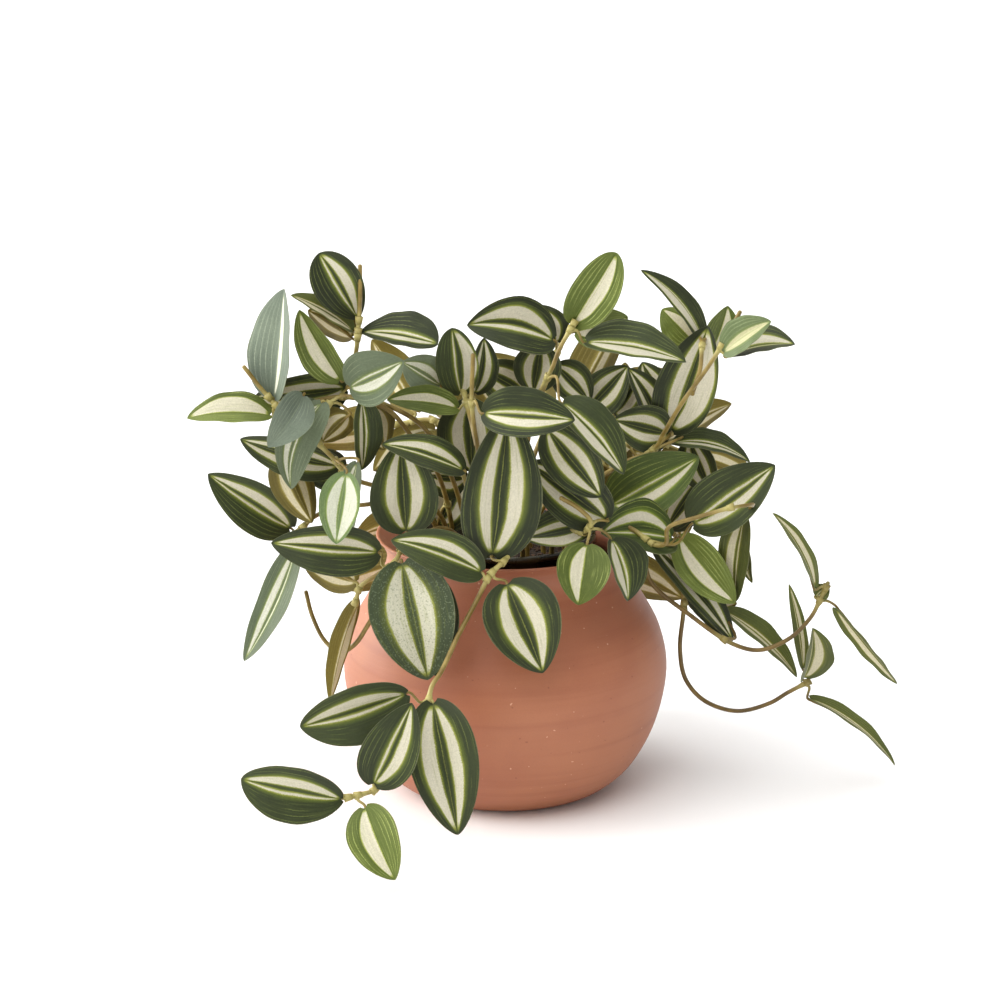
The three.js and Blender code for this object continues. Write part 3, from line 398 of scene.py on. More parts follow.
    leaf("right_top", "light", root=(694, 342), tip=(662, 309), y=-18, lean=4, wide=19),
    leaf("right_top", "two", root=(690, 440), tip=(713, 494), y=-14, wide=20, roll=20),
    leaf("right_back", "two", root=(660, 432), tip=(628, 368), y=-18, lean=2, wide=20, roll=38),
    leaf("right_back", "two", root=(588, 410), tip=(628, 366), y=-14, wide=22),
    leaf("right_back", "two", root=(614, 414), tip=(641, 370), y=-10, wide=22),
    leaf("right_back", "two", root=(664, 410), tip=(642, 362), y=-4, lean=4, wide=20),
    leaf("right_low", "two", root=(668, 526), tip=(706, 470), y=-22, wide=22),
    stem("right_back", hole=(12, 14), route=[
        (560, 480, 8), (590, 430, 18), (620, 415, 22), (646, 414, 16), (664, 426, 0),
    ]),
]

# The sprays behind, which the photograph doesn't show
BACK_SPRAYS = [
    ("back_right", (22, 20), [(570, 490, 34), (604, 456, 42), (644, 440, 48), (684, 452, 52)]),
    ("back_top", (6, 20), [(530, 470, 34), (545, 430, 46), (566, 402, 54), (600, 396, 58)]),
    ("back_left", (-14, 14), [(476, 480, 32), (458, 440, 40), (432, 420, 44), (398, 424, 48)]),
    ("back_low_left", (-12, 22), [
        (472, 488, 34), (460, 484, 56), (440, 500, 76), (420, 545, 88), (406, 600, 94),
    ]),
    ("back_low_right", (13, 24), [
        (534, 488, 36), (544, 484, 58), (566, 502, 78), (588, 548, 90), (600, 604, 96),
    ]),
]
BACK_JOINTS = [0.64, 0.77, 0.9]  # where the pairs of leaves stand, as shares of the stem
BACK_LENGTH = (34, 46)
BACK_WIDTH = (0.54, 0.62)  # as a share of the length
BACK_STALK = 4
BACK_LEAN = (0, 0.15)
BACK_LIFT = (0, 0.5)  # how far a leaf's upper face turns up
BACK_TURN = (-0.5, 0.5)  # and to the side
BACK_AHEAD = (0.3, 0.7)  # how far a leaf points along its stem
BACK_DROOP = (-0.4, -0.1)
BACK_LOOKS = ["two", "one", "two", "light", "one", "two", "painted_sheen_grey"]
SEED = 57


class Draw:
    """Draws numbers between two limits, and the same ones each time, as in the model."""

    FACTOR = 16807
    MODULUS = 2147483647

    def __init__(self, seed):
        self.state = seed

    def __call__(self, low, high):
        self.state = self.state * self.FACTOR % self.MODULUS
        return low + (high - low) * self.state / self.MODULUS


def stem_places(part):
    """The places of a stem from the bottom of its hole on, or of a side shoot."""
    points = list(part["route"])
    if part["hole"]:
        heights = (SOIL_TOP - ROOT_DEPTH + TOUCH, SOIL_TOP - SOIL_EXIT, SOIL_TOP + UPRIGHT)
        points = [np.array([*part["hole"], z]) for z in heights] + points
    return smooth_through(points, STRETCH)


def back_leaf(spray, joint, heading, draw):
    """A leaf at the back, which leans outwards a little from the joint on."""
    length = draw(*BACK_LENGTH)
    along = unit(heading - AHEAD * (heading @ AHEAD))
    along = unit(along + AHEAD * draw(*BACK_LEAN))
    root = joint + along * BACK_STALK
    face = AHEAD + UP * draw(*BACK_LIFT)
    face[0] = draw(*BACK_TURN)
    return {
        "spray": spray, "root": root, "tip": root + along * length, "face": face,
        "wide": draw(*BACK_WIDTH) * length, "roll": 0,
    }


def back_spray(spray, hole, route, draw):
    """The stem and the leaves of one spray at the back."""
    main = stem(spray, hole, route)
    places = stem_places(main)
    parts = [main]
    for share in BACK_JOINTS:
        spot = round(share * (len(places) - 1))
        along = unit(places[spot] - places[spot - 1])
        across = unit(np.cross(along, AHEAD))
        for side in (-1, 1):
            heading = along * draw(*BACK_AHEAD) + across * side
            heading = heading + UP * draw(*BACK_DROOP)
            parts.append(back_leaf(spray, places[spot], heading, draw))
    parts.append(back_leaf(spray, places[-1], places[-1] - places[-4], draw))
    for i, part in enumerate(parts[1:]):
        part["look"] = BACK_LOOKS[(i + len(spray)) % len(BACK_LOOKS)]
        part["flip"] = i % 2 == 1
    return parts


draw = Draw(SEED)
PLANT = FRONT_TO_BACK + [part for line in BACK_SPRAYS for part in back_spray(*line, draw)]
chance = random.Random(SEED)
for part in PLANT:
    if "look" in part:
        left, right = chance.uniform(0, FULL_TURN), chance.uniform(0, FULL_TURN)
        part["wave"] = (left, right, chance.uniform(*WAVES))
        part["tone"] = chance.random()


def half_width(t, shape):
    """Half of a blade's width at t along its midrib, as a share of its greatest half width."""
    rising, falling = shape
    peak = rising / (rising + falling)
    return t**rising * (1 - t) ** falling / (peak**rising * (1 - peak) ** falling)


class Blade:
    """The form of a leaf's blade, in millimetres."""

    def __init__(self, part):
        self.root, self.wide = part["root"], part["wide"]
        chord = part["tip"] - self.root
        self.length = np.linalg.norm(chord)
        self.along = chord / self.length
        toward = part["face"] if "face" in part else EYE - self.root
        front = unit(toward - self.along * (toward @ self.along))
        side = np.cross(self.along, front)
        turn = math.radians(part["roll"])
        self.upper = front * math.cos(turn) + side * math.sin(turn)
        self.across = np.cross(self.along, self.upper)
        self.slope = math.radians(FOLD)
        self.arch, self.bow = part.get("arch", ARCH), part.get("bow", 0)
        self.wave, self.shape = part["wave"], part.get("shape", OUTLINE)

    def places(self, t, s, depth=0.0):
        """Places for t along the blade, 0 to 1, s across it, -1 to 1, and depth, 0 on its upper
        face and 1 on its lower one."""
        t, s = np.asarray(t, float), np.asarray(s, float)
        half = 0.5 * self.wide * half_width(t, self.shape)
        hump = 4 * t * (1 - t)
        steep = 1 + CAMBER
        crease = steep * np.sqrt(s**2 + CREASE**2) - CAMBER * s**2 - steep * CREASE
        rise = self.arch * self.length * hump + math.sin(self.slope) * half * crease
        left, right, turns = self.wave
        ripple = np.sin(turns * FULL_TURN * t + np.where(s < 0, left, right))
        rise = rise + WAVE * ripple * s**2 * hump
        thickness = MARGIN_THICKNESS + (BLADE_THICKNESS - MARGIN_THICKNESS) * (1 - s**2)
        rise = rise - np.asarray(depth, float) * thickness
        ahead = self.length * (t - LOBE * np.abs(s) ** LOBE_CURVE * np.exp(-t / LOBE_END))
        aside = math.cos(self.slope) * half * s + self.bow * hump
        places = self.root + ahead[..., None] * self.along + rise[..., None] * self.upper
        return places + aside[..., None] * self.across


# What has been placed: the furthest depth over each small square of the picture, for the blades
# and the stems of each spray
SQUARE = 2  # its side, in px
SQUARES = 700  # along each side, with room beyond the picture
FIRST_SQUARE = -100
placed = {}


def squares(places):
    u, v = pictured(places)
    return [np.floor(x / SQUARE).astype(int) - FIRST_SQUARE for x in (u, v)]


def needed_set_back(places, spray, own_blades):
    """How far back each place has to go to clear what is before it: other sprays, and the
    blades of its own spray where own_blades says so."""
    u, v = squares(places)
    low, high = (u.min() - 1, v.min() - 1), (u.max() + 2, v.max() + 2)
    front = np.full((high[0] - low[0], high[1] - low[1]), -np.inf)
    for (other, kind), furthest in placed.items():
        if other != spray or (own_blades and kind == "blade"):
            np.maximum(front, furthest[low[0]:high[0], low[1]:high[1]], out=front)
    near = np.full(len(places), -np.inf)
    for i in (-1, 0, 1):
        for j in (-1, 0, 1):
            near = np.maximum(near, front[u - low[0] + i, v - low[1] + j])
    return np.maximum(near + CLEAR - places[:, 1], 0)


def record(places, spray, kind):
    furthest = placed.setdefault((spray, kind), np.full((SQUARES, SQUARES), -np.inf))
    u, v = squares(places)
    np.maximum.at(furthest, (u, v), places[:, 1])


BEHIND_POT = 3  # how far what hangs behind the pot stays off its wall


def needed_past_pot(places):
    """How far back each place behind the pot has to go to clear its wall."""
    radii, heights = zip(*POT_OUTLINE)
    x, y, z = places.T
    radius = np.interp(z, heights, radii) + BEHIND_POT
    past = np.sqrt(np.maximum(0, radius**2 - x**2)) - y
    return np.where((y >= 0) & (z > 0) & (z < heights[-1]), np.maximum(0, past), 0)


# The places of a blade that are tried against what is before it
SAMPLES_ALONG = 57
SAMPLES_ACROSS = 25
along_samples, across_samples = np.meshgrid(
    np.linspace(0, 1, SAMPLES_ALONG), np.linspace(-1, 1, SAMPLES_ACROSS), indexing="ij"
)


def blade_samples(part):
    blade = Blade(part)
    faces = [blade.places(along_samples, across_samples, depth).reshape(-1, 3) for depth in (0, 1)]
    return np.concatenate(faces)


def settle_leaf(part):
    """Sets a leaf back until its blade clears every blade and every other spray's stem before it."""
    places = blade_samples(part)
    distance = max(needed_set_back(places, part["spray"], True).max(), needed_past_pot(places).max())
    part["root"] = set_back(part["root"], distance)
    part["tip"] = set_back(part["tip"], distance)
    record(blade_samples(part), part["spray"], "blade")


def settle_stem(part):
    """Bends a stem back, at a gentle slope, until it clears every other spray before it."""
    places = stem_places(part)
    lowest = SOIL_TOP + FREE if part["hole"] else 0
    needs = np.where(places[:, 2] < lowest, 0, needed_set_back(places, part["spray"], False))
    apart = np.linalg.norm(places[:, None] - places[None], axis=2)
    bends = np.where(needs > 0, needs + STEM_RADIUS - BEND * apart, 0).max(axis=1)
    bends = np.maximum(bends, 0)
    if part["hole"]:
        bends = np.minimum(bends, BEND * np.maximum(0, places[:, 2] - lowest))
    part["places"] = set_back(places, bends)
    record(part["places"] + [0, STEM_RADIUS, 0], part["spray"], "stem")


for part in PLANT:
    if "route" in part:
        settle_stem(part)
    else:
        settle_leaf(part)


class Amount:
    """A number that a paint's nodes work out, for use in formulas like a plain number."""

    def __init__(self, paint, socket):
        self.paint, self.socket = paint, socket

    def __add__(self, other):
        return self.paint.calc("ADD", self, other)

    def __sub__(self, other):
        return self.paint.calc("SUBTRACT", self, other)

    def __rsub__(self, other):
        return self.paint.calc("SUBTRACT", other, self)

    def __mul__(self, other):
        return self.paint.calc("MULTIPLY", self, other)

    def __pow__(self, other):
        return self.paint.calc("POWER", self, other)

    def at_least(self, other):
        return self.paint.calc("MAXIMUM", self, other)


class Paint:
    """A procedural material, whose colour and bump are put together step by step. sockets sets
    the shader's own, among them the mean of a roughness that nodes vary."""

    def __init__(self, name, **sockets):
        self.material = bpy.data.materials.new(name)
        self.material.use_nodes = True
        self.tree = self.material.node_tree
        self.tree.nodes.clear()
        self.surface = self.node("ShaderNodeBsdfPrincipled")
        for socket, value in sockets.items():
            self.surface.inputs[socket.replace("_", " ")].default_value = value
        output = self.node("ShaderNodeOutputMaterial")
        self.tree.links.new(self.surface.outputs[0], output.inputs["Surface"])

    def node(self, kind, **settings):
        made = self.tree.nodes.new(kind)
        for name, value in settings.items():
            setattr(made, name, value)
        return made

    def give(self, socket, value):
        """Joins a socket to what another node gives, or sets it to a number or a colour."""
        if isinstance(value, Amount):
            value = value.socket
        if isinstance(value, bpy.types.NodeSocket):
            self.tree.links.new(value, socket)
        else:
            socket.default_value = srgb(value) if isinstance(value, str) else value

    def calc(self, operation, *values):
        made = self.node("ShaderNodeMath", operation=operation)
        for socket, value in zip(made.inputs, values):
            self.give(socket, value)
        return Amount(self, made.outputs[0])

    def step(self, value, low, high):
        """0 below low and 1 above high, and a smooth step between them."""
        made = self.node("ShaderNodeMapRange", interpolation_type="SMOOTHSTEP")
        for socket, given in zip(made.inputs, (value, low, high)):
            self.give(socket, given)
        return Amount(self, made.outputs["Result"])

    def mix(self, share, first, second, blend="MIX"):
        """The first colour, with a share of the second mixed or multiplied in."""
        made = self.node("ShaderNodeMix", data_type="RGBA", blend_type=blend)
        for index, value in ((0, share), (6, first), (7, second)):
            self.give(made.inputs[index], value)
        return made.outputs[2]

    def noise(self, scale, detail=2.0, stretch=(1, 1, 1), at=None):
        """Noise over stretched Object coordinates, or over the vector at."""
        if at is None:
            places = self.node("ShaderNodeMapping")
            self.give(places.inputs["Vector"], self.node("ShaderNodeTexCoord").outputs["Object"])
            places.inputs["Scale"].default_value = stretch
            at = places.outputs[0]
        made = self.node("ShaderNodeTexNoise")
        made.inputs["Scale"].default_value = scale
        made.inputs["Detail"].default_value = detail
        self.give(made.inputs["Vector"], at)
        return Amount(self, made.outputs["Fac"])

    def attribute(self, name):
        """A number of the mesh."""
        return Amount(self, self.node("ShaderNodeAttribute", attribute_name=name).outputs["Fac"])

    def split(self, made, output):
        """The first two numbers of a vector that a node gives."""
        parts = self.node("ShaderNodeSeparateXYZ")
        self.give(parts.inputs[0], made.outputs[output])
        return Amount(self, parts.outputs[0]), Amount(self, parts.outputs[1])

    def bump(self, height, distance, normal=None):
        """Relief that is distance metres high where height goes from 0 to 1."""
        made = self.node("ShaderNodeBump")
        made.inputs["Strength"].default_value = 1.0
        made.inputs["Distance"].default_value = distance
        self.give(made.inputs["Height"], height)
        if normal is not None:
            self.give(made.inputs["Normal"], normal)
        return made.outputs[0]

    def finish(self, colour, normal=None, roughness=None):
        self.give(self.surface.inputs["Base Color"], colour)
        if normal is not None:
            self.give(self.surface.inputs["Normal"], normal)
        if roughness is not None:
            self.give(self.surface.inputs["Roughness"], roughness)
        return self.material


# The markings of the leaves. Each half of a blade has a cream band with a yellow-green fringe,
# whose inner and outer edge are shares of the half width: first on the half with the wide band,
# then on the other half. A row of the plant may give its own with bands.
BANDS = {
    "two": (0.23, 0.55, 0.21, 0.52),
    "one": (0.21, 0.54, 0.04, 0.12),
    "light": (0.03, 0.48, 0.0, 0.0),
    "fresh": (0.22, 0.52, 0.03, 0.09),
    "painted_sheen_grey": (0.16, 0.46, 0.03, 0.09),
    "painted_sheen_mist": (0.0, 0.0, 0.0, 0.0),
    "soft": (0.04, 0.40, 0.0, 0.20),
    "pale": (0.06, 0.82, 0.06, 0.80),
    "olive": (0.14, 0.52, 0.05, 0.13),
    "speckled": (0.17, 0.58, 0.14, 0.50),
}
# The colours of each look: the two tones of its ground, the tint beside the bands, their fringe,
# their cream and the veins
LOOKS = {
    "two": ("#202612", "#30381C", "#515B22", "#8F9440", "#C6C1AC", "#5F6832"),
    "one": ("#242A15", "#353E1F", "#545F25", "#8F9440", "#C6C1AC", "#646E36"),
    "light": ("#4A561F", "#637030", "#46541C", "#9CA44E", "#CBC6AE", "#A6B062"),
    "fresh": ("#333F18", "#475622", "#596A24", "#929B42", "#C6C1AC", "#879347"),
    # In the next two looks the blue-grey of the ground and tints is painted sheen: side light glancing
    # off green leaves, put into their colour
    "painted_sheen_grey": ("#505B43", "#667158", "#5F6C45", "#8A9458", "#CDCDBB", "#7F8A6B"),
    "painted_sheen_mist": ("#525D50", "#77826F", "#5E695A", "#838B6A", "#CDCDBB", "#8C957F"),
    "soft": ("#5B6942", "#738057", "#6B7847", "#8B9460", "#B3B088", "#87936A"),
    "pale": ("#4F6238", "#64774A", "#657A40", "#94A060", "#C4C6B2", "#8A986A"),
    "olive": ("#434A1F", "#555D2A", "#5F6428", "#929048", "#C7C0A2", "#7F8044"),
    "speckled": ("#2B3421", "#3C462E", "#515928", "#8F9440", "#C2C0AB", "#5F6832"),
    "under": ("#5C5320", "#72652A", "#7A6D30", "#A39752", "#CDC4A4", "#85783C"),
}
MARGIN_TINT = "#8F9168"
SPECKLE_TINT = "#6F7A5C"
VEIN_SPACING = 0.185  # as a share of the half width
THREAD = 0.55  # the pitch of the cloth's threads, in mm
RIBS = 11  # fine ribs on each half of a blade
# The layers of a band are the tint beside it, its fringe and its cream: how far each grows
# inwards and outwards, how soft its edges are, and where along the blade it begins and ends
BAND_LAYERS = [
    ((0.07, 0.13), 0.08, (0.0, 0.05), (0.95, 0.995)),
    ((0.035, 0.04), 0.035, (0.01, 0.05), (0.93, 0.98)),
    ((0.0, 0.0), 0.018, (0.035, 0.07), (0.90, 0.95)),
]


def leaf_paint(look, ground, light_ground, beside, fringe, cream, vein):
    """The print of a leaf, drawn across and along its blade, on finely woven cloth."""
    paint = Paint(
        f"leaf_{look}", Roughness=0.5, Specular_IOR_Level=0.25, Sheen_Weight=0.03, Sheen_Roughness=0.5
    )
    share, along = paint.split(paint.node("ShaderNodeUVMap", uv_map="blade"), 0)
    cloth = paint.split(paint.node("ShaderNodeUVMap", uv_map="cloth"), 0)
    wide_band, far_band = (
        paint.split(paint.node("ShaderNodeAttribute", attribute_name=name), "Vector")
        for name in ("wide_band", "far_band")
    )
    tone = paint.attribute("tone")

    # Across the blade from -1 to 1, with a little blur and wander, and the bands' spindle shape
    grain = paint.noise(2600, 1)
    across = share * 2.0 - 1.0 + (grain - 0.5) * 0.05 + (paint.noise(70, 2) - 0.5) * 0.08
    far = across * -1.0
    outwards = paint.calc("ABSOLUTE", across)
    lens = (along * (1.0 - along) * 4.0).at_least(0.0) ** 0.42

    # Streaks along the blade, which differ from leaf to leaf
    spot = paint.node("ShaderNodeCombineXYZ")
    for socket, value, stretch in zip(spot.inputs, (share, along, tone), (42.0, 3.5, 40.0)):
        paint.give(socket, value * stretch)
    streaks = paint.step(paint.noise(1.0, at=spot.outputs[0]), 0.52, 0.74)

    def band(side, edges, grow, soft, begin, finish):
        """How far a place lies in a layer of the band between two edges."""
        inner = edges[0] * lens - grow[0]
        outer = edges[1] * lens + grow[1]
        within = paint.step(side, inner - soft, inner + soft)
        beyond = paint.step(side, outer - soft, outer + soft)
        lasts = paint.step(along, *begin) * (1.0 - paint.step(along, *finish))
        there = paint.step(edges[1] - edges[0], 0.0, 0.02)
        return ((within - beyond) * lasts * there).at_least(0.0)

    # The ground with its veins, the bands, the midrib and the margin
    shade = paint.step(paint.noise(28, 3) * 1.3 + (tone * 0.7 - 0.5), 0.0, 1.0)
    colour = paint.mix(shade, ground, light_ground)
    colour = paint.mix(streaks * 0.22, colour, vein)
    patches = paint.step(paint.noise(60, 1), 0.38, 0.6)
    veins = paint.calc("COSINE", across * (FULL_TURN / VEIN_SPACING))
    veins = paint.step(veins, 0.84, 0.985) * patches * paint.step(lens, 0.45, 0.8)
    colour = paint.mix(veins * 0.7, colour, vein)
    for layer, tint in zip(BAND_LAYERS, (beside, fringe, cream)):
        banded = band(across, wide_band, *layer).at_least(band(far, far_band, *layer))
        colour = paint.mix(banded * (streaks * -0.3 + 1.0), colour, tint)
    midrib = (1.0 - paint.step(outwards, 0.006, 0.022)) * (1.0 - paint.step(along, 0.85, 0.97))
    colour = paint.mix(midrib * 0.3, colour, fringe)
    colour = paint.mix(paint.step(outwards, 0.965, 1.0) * 0.35, colour, MARGIN_TINT)
    if look == "speckled":
        spots = paint.step(paint.noise(1300, 0), 0.62, 0.70)
        colour = paint.mix(spots * 0.45, colour, SPECKLE_TINT)

    # The cloth: its threads and flecks, and fine ribs along the blade
    warp, weft = (paint.calc("SINE", length * (FULL_TURN / THREAD)) for length in cloth)
    weave = warp * weft
    flecks = paint.noise(1250, 3) * 0.36 + (weave * 0.08 + 0.57)
    colour = paint.mix(1.0, colour, grain * 0.5 + flecks, "MULTIPLY")
    ribs = paint.calc("SINE", across * (RIBS * math.pi)) * paint.step(lens, 0.45, 0.85)
    relief = paint.bump(weave * 0.5 + 0.5, 0.00003)
    relief = paint.bump(ribs * 0.5 + 0.5, 0.00005, normal=relief)
    return paint.finish(colour, relief, grain * 0.18 + 0.42)


SLOTS = list(LOOKS)
leaf_paints = [leaf_paint(look, *colours) for look, colours in LOOKS.items()]


def new_piece(name, mesh, node, paints):
    """Makes a mesh a piece that stands for a node of the model."""
    for paint in paints:
        mesh.materials.append(paint)
    piece = bpy.data.objects.new(name, mesh)
    bpy.context.scene.collection.objects.link(piece)
    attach(piece, "root")
    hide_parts(node)
    return piece


def blade_pattern():
    """A blade before it gets its form: x runs across it, y along it and z through it."""
    bm = bmesh.new()
    bmesh.ops.create_grid(bm, x_segments=BLADE_ACROSS, y_segments=BLADE_ALONG, size=1)
    bmesh.ops.solidify(bm, geom=bm.faces[:], thickness=1)
    bmesh.ops.recalc_face_normals(bm, faces=bm.faces[:])
    for name in ("blade", "cloth"):
        bm.loops.layers.uv.new(name)
    for edge in bm.edges:
        edge.smooth = not any(abs(face.normal.z) < 0.5 for face in edge.link_faces)
    for face in bm.faces:
        face.smooth = True
    pattern = bpy.data.meshes.new("blade_pattern")
    bm.to_mesh(pattern)
    bm.free()
    return pattern


pattern = blade_pattern()
flat = np.zeros(len(pattern.vertices) * 3)
pattern.vertices.foreach_get("co", flat)
flat = flat.reshape(-1, 3)
pattern_s = flat[:, 0]
pattern_t = BLADE_START + (1 - BLADE_START) * (1 - np.cos(math.pi * (flat[:, 1] + 1) / 2)) / 2
pattern_depth = (flat[:, 2].max() - flat[:, 2]) / np.ptp(flat[:, 2])
corner_vertex = np.zeros(len(pattern.loops), int)
pattern.loops.foreach_get("vertex_index", corner_vertex)
lower_faces = np.array([
    all(pattern_depth[i] > 0.5 for i in face.vertices) for face in pattern.polygons
])


def add_blade(bm, part):
    """Adds a leaf's blade to a bmesh, in metres, with its look and its two UV maps."""
    blade = Blade(part)
    mesh = pattern.copy()
    places = blade.places(pattern_t, pattern_s, pattern_depth) * MM
    mesh.vertices.foreach_set("co", places.ravel())
    s, t = pattern_s[corner_vertex], pattern_t[corner_vertex]
    turned = -s if part.get("flip") else s
    mesh.uv_layers["blade"].uv.foreach_set("vector", np.stack([(turned + 1) / 2, t], 1).ravel())
    cloth = np.stack([0.5 * blade.wide * half_width(t, blade.shape) * s, blade.length * t], 1)
    mesh.uv_layers["cloth"].uv.foreach_set("vector", cloth.ravel())
    tone = mesh.attributes.new("tone", "FLOAT", "POINT")
    tone.data.foreach_set("value", np.full(len(mesh.vertices), part["tone"]))
    bands = part.get("bands") or BANDS[part["look"]]
    for name, edges in (("wide_band", bands[:2]), ("far_band", bands[2:])):
        band = mesh.attributes.new(name, "FLOAT_VECTOR", "POINT")
        band.data.foreach_set("vector", np.tile([*edges, 0.0], len(mesh.vertices)))
    look = np.where(lower_faces, SLOTS.index("under"), SLOTS.index(part["look"]))
    mesh.polygons.foreach_set("material_index", look)
    bm.from_mesh(mesh)
    bpy.data.meshes.remove(mesh)


STALK_DROP = 0.35  # how far the middle of a stalk lies below the blade
STALK_END = (0.02, 0.12, 0.3)  # where along the blade it runs under it
STALK_BEND = 3  # the gap from which it first follows the stem
STALK_FOLLOW = 0.22  # how far it does, and how far it then has come, as shares of the gap
STALK_PASSED = 0.3
STALK_LEAD = 1.5  # how far before the blade it straightens, and at most what share of the gap
STALK_LEAD_SHARE = 0.25
STALK_STRETCH = 5  # places between two points of its route
STALK_RADII = [(0, 0.85), (0.3, 0.62), (0.7, 0.62), (0.85, 0.45), (1, 0.15)]


def stalk_route(part, stems):
    """Where the stalk of a leaf runs, from the nearest place on its spray's stems to under the
    blade, with the way of the stem there."""
    starts = [
        (stem, i) for stem in stems for i in range(RISEN if stem["hole"] else 0, len(stem["places"]))
    ]
    of_stem, i = min(starts, key=lambda s: np.linalg.norm(s[0]["places"][s[1]] - part["root"]))
    places = of_stem["places"]
    start = places[i]
    way = unit(places[min(i + 1, len(places) - 1)] - places[max(i - 1, 0)])
    blade = Blade(part)
    far = np.linalg.norm(blade.root - start)
    below = blade.upper * (BLADE_THICKNESS + STALK_DROP)
    under = [blade.places(t, 0.0) - below for t in STALK_END]
    route = [start, *under]
    if far > STALK_BEND:
        route.insert(1, start + way * STALK_FOLLOW * far + (blade.root - start) * STALK_PASSED)
    if far > STALK_LEAD:
        lead = min(STALK_LEAD, STALK_LEAD_SHARE * far)
        route.insert(-len(under), blade.root - blade.along * lead - below)
    return smooth_through(route, STALK_STRETCH), of_stem, i, way


def tubes_mesh(tubes):
    """Round tubes as one mesh: each is its places in mm and its radii in mm."""
    curve = bpy.data.curves.new("tubes", "CURVE")
    curve.dimensions = "3D"
    curve.bevel_depth = MM
    curve.bevel_resolution = 2
    curve.use_fill_caps = True
    for places, radii in tubes:
        spline = curve.splines.new("POLY")
        spline.points.add(len(places) - 1)
        co = np.hstack([places * MM, np.ones((len(places), 1))])
        spline.points.foreach_set("co", co.ravel())
        spline.points.foreach_set("radius", radii)
    holder = bpy.data.objects.new("tubes", curve)
    bpy.context.scene.collection.objects.link(holder)
    mesh = bpy.data.meshes.new_from_object(holder.evaluated_get(bpy.context.evaluated_depsgraph_get()))
    bpy.data.objects.remove(holder)
    bpy.data.curves.remove(curve)
    return mesh


SHEATH_RADII = (1.1, 1.6)  # at its foot and its mouth
SHEATH_LENGTH = 3.4
SHEATH_WALL = 0.3
SHEATH_AHEAD = 0.8  # how far along the stem its middle lies from the joint


def add_sheath(bm, place, way):
    """Adds the small flared cup from which a leaf's stalk leaves the stem."""
    foot, mouth = (radius * MM for radius in SHEATH_RADII)
    made = bmesh.ops.create_cone(
        bm, cap_ends=False, segments=14, radius1=foot, radius2=mouth, depth=SHEATH_LENGTH * MM
    )
    turn = Vector((0, 0, 1)).rotation_difference(Vector(way)).to_matrix().to_4x4()
    move = Matrix.Translation(Vector((place + way * SHEATH_AHEAD) * MM))
    bmesh.ops.transform(bm, matrix=move @ turn, verts=made["verts"])
    faces = list(dict.fromkeys(face for vert in made["verts"] for face in vert.link_faces))
    bmesh.ops.recalc_face_normals(bm, faces=faces)
    bmesh.ops.solidify(bm, geom=faces, thickness=-SHEATH_WALL * MM)


def stem_paint(name, first, second, sheath):
    """The smooth skin of a stem, with faint lengthwise variation."""
    paint = Paint(f"stem_{name}", Roughness=0.42, Specular_IOR_Level=0.4)
    colour = paint.mix(paint.step(paint.noise(120, 3), 0.35, 0.68), first, second)
    colour = paint.mix(paint.attribute("joint"), colour, sheath)
    return paint.finish(colour, paint.bump(paint.noise(900, 2), 0.00006))


stem_paints = {
    "tan": stem_paint("tan", "#6F5C28", "#8D793E", "#ADA463"),
    "brown": stem_paint("brown", "#57441C", "#735C2B", "#90854A"),
}
BROWN = {"right_trailer", "right_low"}
STEM_THICK = 1.2  # the radius of a stem where it starts, and how much it thins to its end
STEM_THINS = 0.25
STEM_TIP = [(0.5, 0.8), (0.75, 0.35)]  # how far beyond its end it rounds off, and to what share
JOINT_RADIUS = 1.0
JOINT_THICK = 0.3  # how far a joint swells, and how far along the stem
JOINT_REACH = 1.8
JOINT_TINT_REACH = 4.5
JOINTS_APART = 2.5  # joints that are closer than this share a sheath


def add_stems(spray, parts):
    """The stems, stalks and sheaths of one spray, as one piece."""
    stems = [part for part in parts if "route" in part]
    leaves = [part for part in parts if "look" in part]
    tubes, joints = [], []
    for leaf_part in leaves:
        route, of_stem, i, way = stalk_route(leaf_part, stems)
        radii = np.interp(np.linspace(0, 1, len(route)), *zip(*STALK_RADII))
        tubes.append((route, radii))
        joints.append((of_stem["places"][i], way))
    for part in stems:
        places = part["places"]
        share = np.linspace(0, 1, len(places))
        radii = STEM_THICK - STEM_THINS * share
        for place, _ in joints:
            near = np.linalg.norm(places - place, axis=1)
            swelling = JOINT_THICK * np.exp(-((near / JOINT_REACH) ** 2))
            radii = np.maximum(radii, JOINT_RADIUS + swelling)
        end = unit(places[-1] - places[-2])
        places = np.vstack([places, *[places[-1] + end * beyond for beyond, _ in STEM_TIP]])
        radii = np.append(radii, [radii[-1] * thinner for _, thinner in STEM_TIP])
        tubes.append((places, radii))
    bm = bmesh.new()
    mesh = tubes_mesh(tubes)
    bm.from_mesh(mesh)
    bpy.data.meshes.remove(mesh)
    set_joints = []
    for place, way in joints:
        if all(np.linalg.norm(place - other) > JOINTS_APART for other in set_joints):
            add_sheath(bm, place, way)
            set_joints.append(place)
    for face in bm.faces:
        face.smooth = True
    near_joint = bm.verts.layers.float.new("joint")
    spots = np.array([place for place, _ in joints])
    for vert in bm.verts:
        far = np.linalg.norm(spots - np.array(vert.co) / MM, axis=1).min()
        vert[near_joint] = math.exp(-((far / JOINT_TINT_REACH) ** 2))
    piece_mesh = bpy.data.meshes.new(f"stems_{spray}")
    bm.to_mesh(piece_mesh)
    bm.free()
    paint = stem_paints["brown" if spray in BROWN else "tan"]
    new_piece(f"stems_{spray}", piece_mesh, f"stem_{spray}", [paint])


def add_leaves(spray, parts):
    """The blades of one spray, as one piece."""
    bm = bmesh.new()
    for part in parts:
        if "look" in part:
            add_blade(bm, part)
    bmesh.ops.remove_doubles(bm, verts=bm.verts[:], dist=0.004 * MM)
    mesh = bpy.data.meshes.new(f"leaves_{spray}")
    bm.to_mesh(mesh)
    bm.free()
    new_piece(f"leaves_{spray}", mesh, f"stem_{spray}", leaf_paints)


